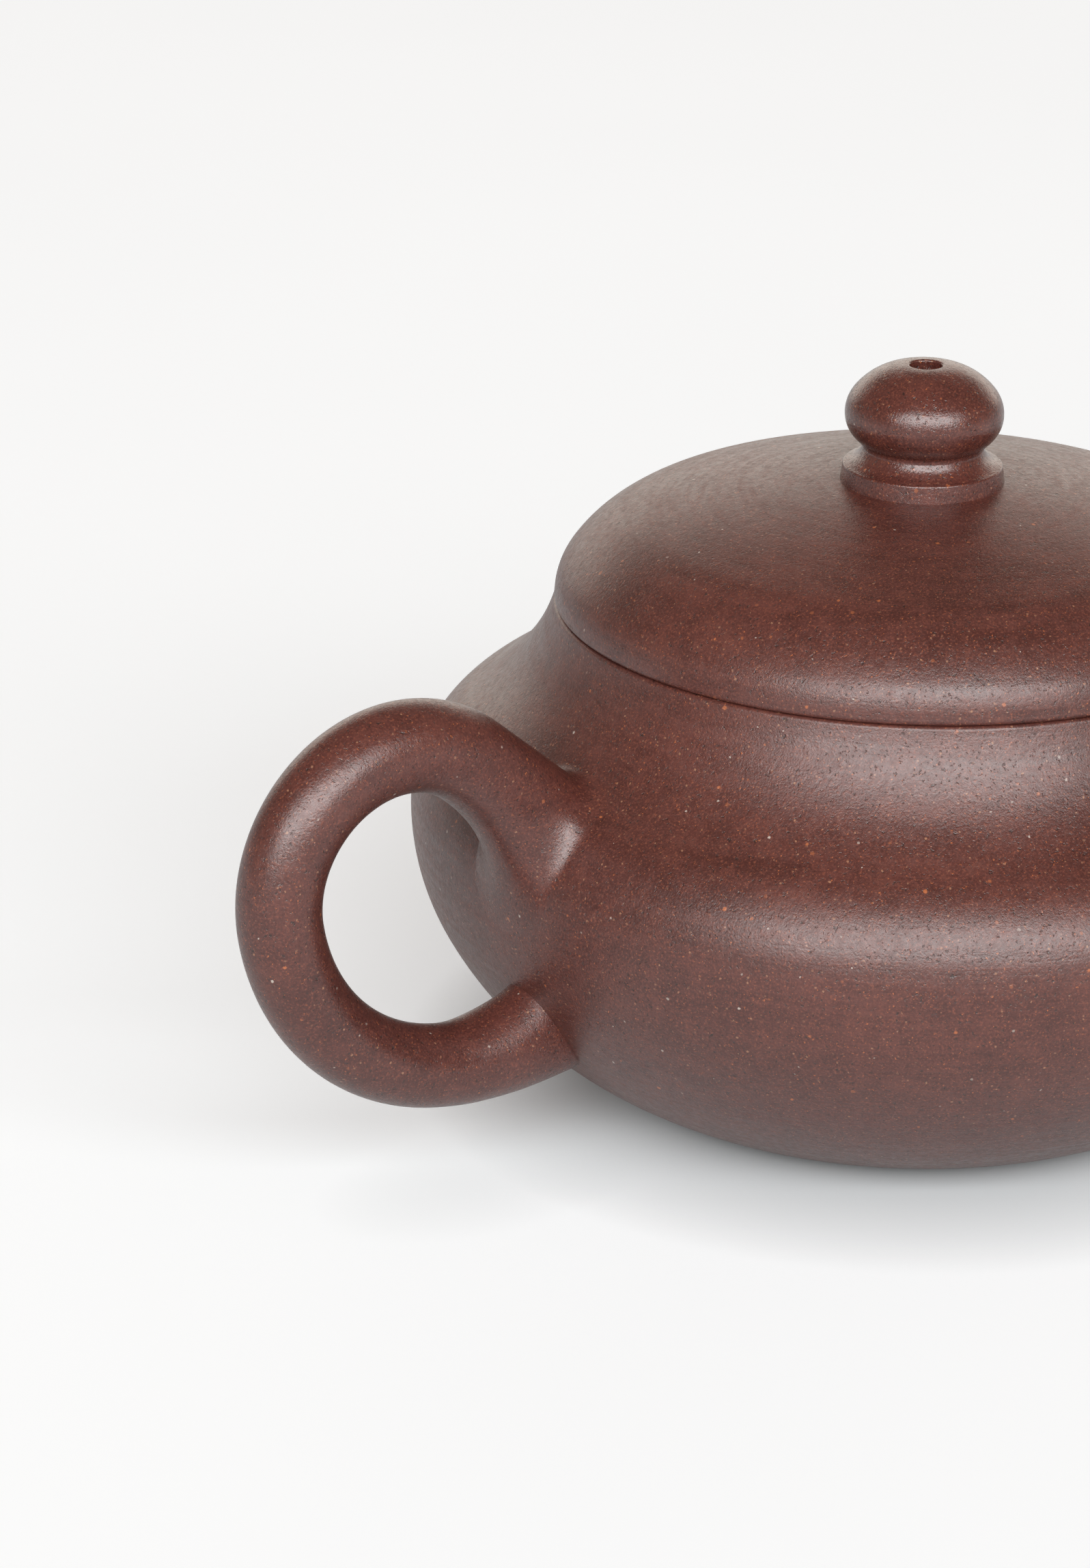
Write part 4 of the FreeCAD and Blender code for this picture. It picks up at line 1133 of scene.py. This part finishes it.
class TEAPOT_OT_lid(bpy.types.Operator):
    """Turn the lid: dome, edge, seat, flange and vent"""

    bl_idname = "teapot.lid"
    bl_label = "Lid"

    def execute(self, context):
        scene = context.scene
        piece = turned_loop_piece("lid_shell", lid_outline(scene.lid_sizes, scene.pot_sizes))
        material = clay_material("lid_clay", scene.clay_look, 1.0)
        settled(piece, "lid", material, "lid_dome", "lid_plate", "lid_flange")
        return {"FINISHED"}


class TEAPOT_OT_knob(bpy.types.Operator):
    """Turn the knob: collar, groove, bead and vent"""

    bl_idname = "teapot.knob"
    bl_label = "Knob"

    def execute(self, context):
        scene = context.scene
        piece = turned_loop_piece("bead_knob", knob_outline(scene.lid_sizes, scene.pot_sizes.seam_height))
        material = clay_material("knob_clay", scene.clay_look, 0.8, scene.clay_look.knob_polish)
        settled(piece, "lid", material, "knob", "knob_collar")
        return {"FINISHED"}


def table_material(studio):
    """A matt white table; where it is seen, plain white is added to it by how open it lies to the sky, so
    that white fades near the pot in a painted contact shadow.
    """
    made = bpy.data.materials.new("table_white")
    made.use_nodes = True
    tree = made.node_tree
    tree.nodes.clear()
    place = tree.nodes.new("ShaderNodeTexCoord").outputs["Object"]
    tone = ramp_of(tree, noise_of(tree, place, TABLE_CLOUDS), 0.3, 0.7)
    dimmer = tuple(part * TABLE_DIM for part in studio.table)
    paint = mix_of(tree, tone, rgba(dimmer), rgba(studio.table))
    matt = add(tree, "ShaderNodeBsdfDiffuse", {"Color": paint})
    glow = add(tree, "ShaderNodeEmission", {"Color": rgba(WHITE)})
    rays = tree.nodes.new("ShaderNodeLightPath").outputs
    mirrored = math_of(tree, "MULTIPLY", rays["Is Glossy Ray"], studio.table_mirrored)
    seen = math_of(tree, "MAXIMUM", rays["Is Camera Ray"], mirrored)
    seen = math_of(tree, "MAXIMUM", seen, rays["Is Transmission Ray"])
    # Ambient occlusion dims the added white near the pot, a painted contact shadow; the matt part takes the
    # lamps' real shadows.
    painted_shadow_ao = add(tree, "ShaderNodeAmbientOcclusion", {"Distance": studio.painted_shadow_reach})
    glow_with_painted_shadow = math_of(tree, "MULTIPLY", painted_shadow_ao.outputs["AO"], studio.table_glow)
    tree.links.new(math_of(tree, "MULTIPLY", seen, glow_with_painted_shadow), glow.inputs["Strength"])
    both = add(tree, "ShaderNodeAddShader", {0: matt.outputs[0], 1: glow.outputs[0]})
    out = tree.nodes.new("ShaderNodeOutputMaterial")
    tree.links.new(both.outputs[0], out.inputs["Surface"])
    return made


def soft_box(name, place, sides, power, tint):
    """A rectangular lamp that faces the pot."""
    lamp = bpy.data.lights.new(name, "AREA")
    lamp.shape = "RECTANGLE"
    lamp.size, lamp.size_y = sides
    lamp.energy = power
    lamp.color = tint
    made = bpy.data.objects.new(name, lamp)
    made.location = place
    made.rotation_euler = (Vector(LAMP_TARGET) - Vector(place)).to_track_quat("-Z", "Y").to_euler()
    bpy.context.scene.collection.objects.link(made)
    return made


def around(azimuth, elevation, distance):
    """A point at a distance from the origin, seen at an azimuth and an elevation."""
    level = math.cos(elevation) * distance
    return np.array([math.sin(azimuth) * level, -math.cos(azimuth) * level, math.sin(elevation) * distance])


def photo_camera(studio, seam):
    """A camera on a sphere about the middle of the lid's seam, turned by pan, tilt and roll.

    Before its pan it stands at the azimuth and looks level at the axis; the tilt then takes it down.
    """
    place = around(studio.azimuth, studio.elevation, studio.distance) + [0.0, 0.0, seam]
    look = studio.azimuth + studio.pan
    right = np.array([math.cos(look), math.sin(look), 0.0])
    level = math.cos(studio.tilt)
    ahead = np.array([-math.sin(look) * level, math.cos(look) * level, -math.sin(studio.tilt)])
    up = np.cross(right, ahead)
    rolled_right = math.cos(studio.roll) * right + math.sin(studio.roll) * up
    rolled_up = -math.sin(studio.roll) * right + math.cos(studio.roll) * up
    lens = bpy.data.cameras.new("photo_camera")
    lens.sensor_width = SENSOR
    lens.lens = studio.focal / max(IMAGE_SIDES) * SENSOR
    lens.clip_start = NEAR_CLIP
    made = bpy.data.objects.new("photo_camera", lens)
    columns = np.eye(4)
    columns[:3, 0] = rolled_right
    columns[:3, 1] = rolled_up
    columns[:3, 2] = -ahead
    columns[:3, 3] = place
    made.matrix_world = Matrix(columns.tolist())
    bpy.context.scene.collection.objects.link(made)
    return made


def studio_world(studio):
    """A surround that is pale at the horizon, and warmer and dimmer overhead."""
    world = bpy.data.worlds.new("studio")
    world.use_nodes = True
    tree = world.node_tree
    way = tree.nodes.new("ShaderNodeTexCoord").outputs["Generated"]
    rise = add(tree, "ShaderNodeSeparateXYZ", {0: way}).outputs[2]
    light = mix_of(tree, ramp_of(tree, rise, *SKY_RISE), rgba(studio.sky_low), rgba(studio.sky_high))
    tree.links.new(light, tree.nodes["Background"].inputs["Color"])
    return world


class TEAPOT_OT_stage(bpy.types.Operator):
    """Set the white table, the lamps, the surround and the camera"""

    bl_idname = "teapot.stage"
    bl_label = "Stage"

    def execute(self, context):
        scene = context.scene
        studio = scene.studio
        corners = np.array([[-1, -1, 0], [1, -1, 0], [1, 1, 0], [-1, 1, 0]]) * TABLE_HALF
        table = skin_object("table_top", corners, [np.array([[0, 1, 2, 3]])])
        table.data.materials.append(table_material(studio))
        scene.world = studio_world(studio)
        place = around(studio.key_azimuth, studio.key_elevation, studio.key_distance)
        soft_box("key_box", place, (studio.key_width, studio.key_height), studio.key, WHITE)
        place = around(studio.back_azimuth, studio.back_elevation, studio.key_distance)
        sides = (studio.back_width, studio.back_height)
        soft_box("back_panel", place, sides, studio.back, studio.back_tint)
        scene.camera = photo_camera(studio, scene.pot_sizes.seam_height)
        scene.view_settings.view_transform = "Standard"
        return {"FINISHED"}


OPERATORS = [
    TEAPOT_OT_pot,
    TEAPOT_OT_handle,
    TEAPOT_OT_spout,
    TEAPOT_OT_lid,
    TEAPOT_OT_knob,
    TEAPOT_OT_stage,
]


class TEAPOT_PT_sidebar(bpy.types.Panel):
    """The teapot's sizes and the steps that build it"""

    bl_idname = "TEAPOT_PT_sidebar"
    bl_label = "Clay Teapot"
    bl_space_type = "VIEW_3D"
    bl_region_type = "UI"
    bl_category = "Teapot"

    def draw(self, context):
        for name, group in GROUPS.items():
            box = self.layout.box()
            box.label(text=group.__doc__)
            for key in group.__annotations__:
                box.prop(getattr(context.scene, name), key)
        for operator in OPERATORS:
            self.layout.operator(operator.bl_idname)


CLASSES = [*GROUPS.values(), *OPERATORS, TEAPOT_PT_sidebar]


def register():
    """Register the classes and hang the property groups on the scene."""
    for item in CLASSES:
        bpy.utils.register_class(item)
    for name, group in GROUPS.items():
        setattr(bpy.types.Scene, name, PointerProperty(type=group))


def unregister():
    """Undo what register did."""
    for name in GROUPS:
        delattr(bpy.types.Scene, name)
    for item in reversed(CLASSES):
        bpy.utils.unregister_class(item)


def main():
    """Build every piece in order."""
    register()
    bpy.ops.teapot.pot()
    bpy.ops.teapot.handle()
    bpy.ops.teapot.spout()
    bpy.ops.teapot.lid()
    bpy.ops.teapot.knob()
    bpy.ops.teapot.stage()


if __name__ == "__main__":
    main()
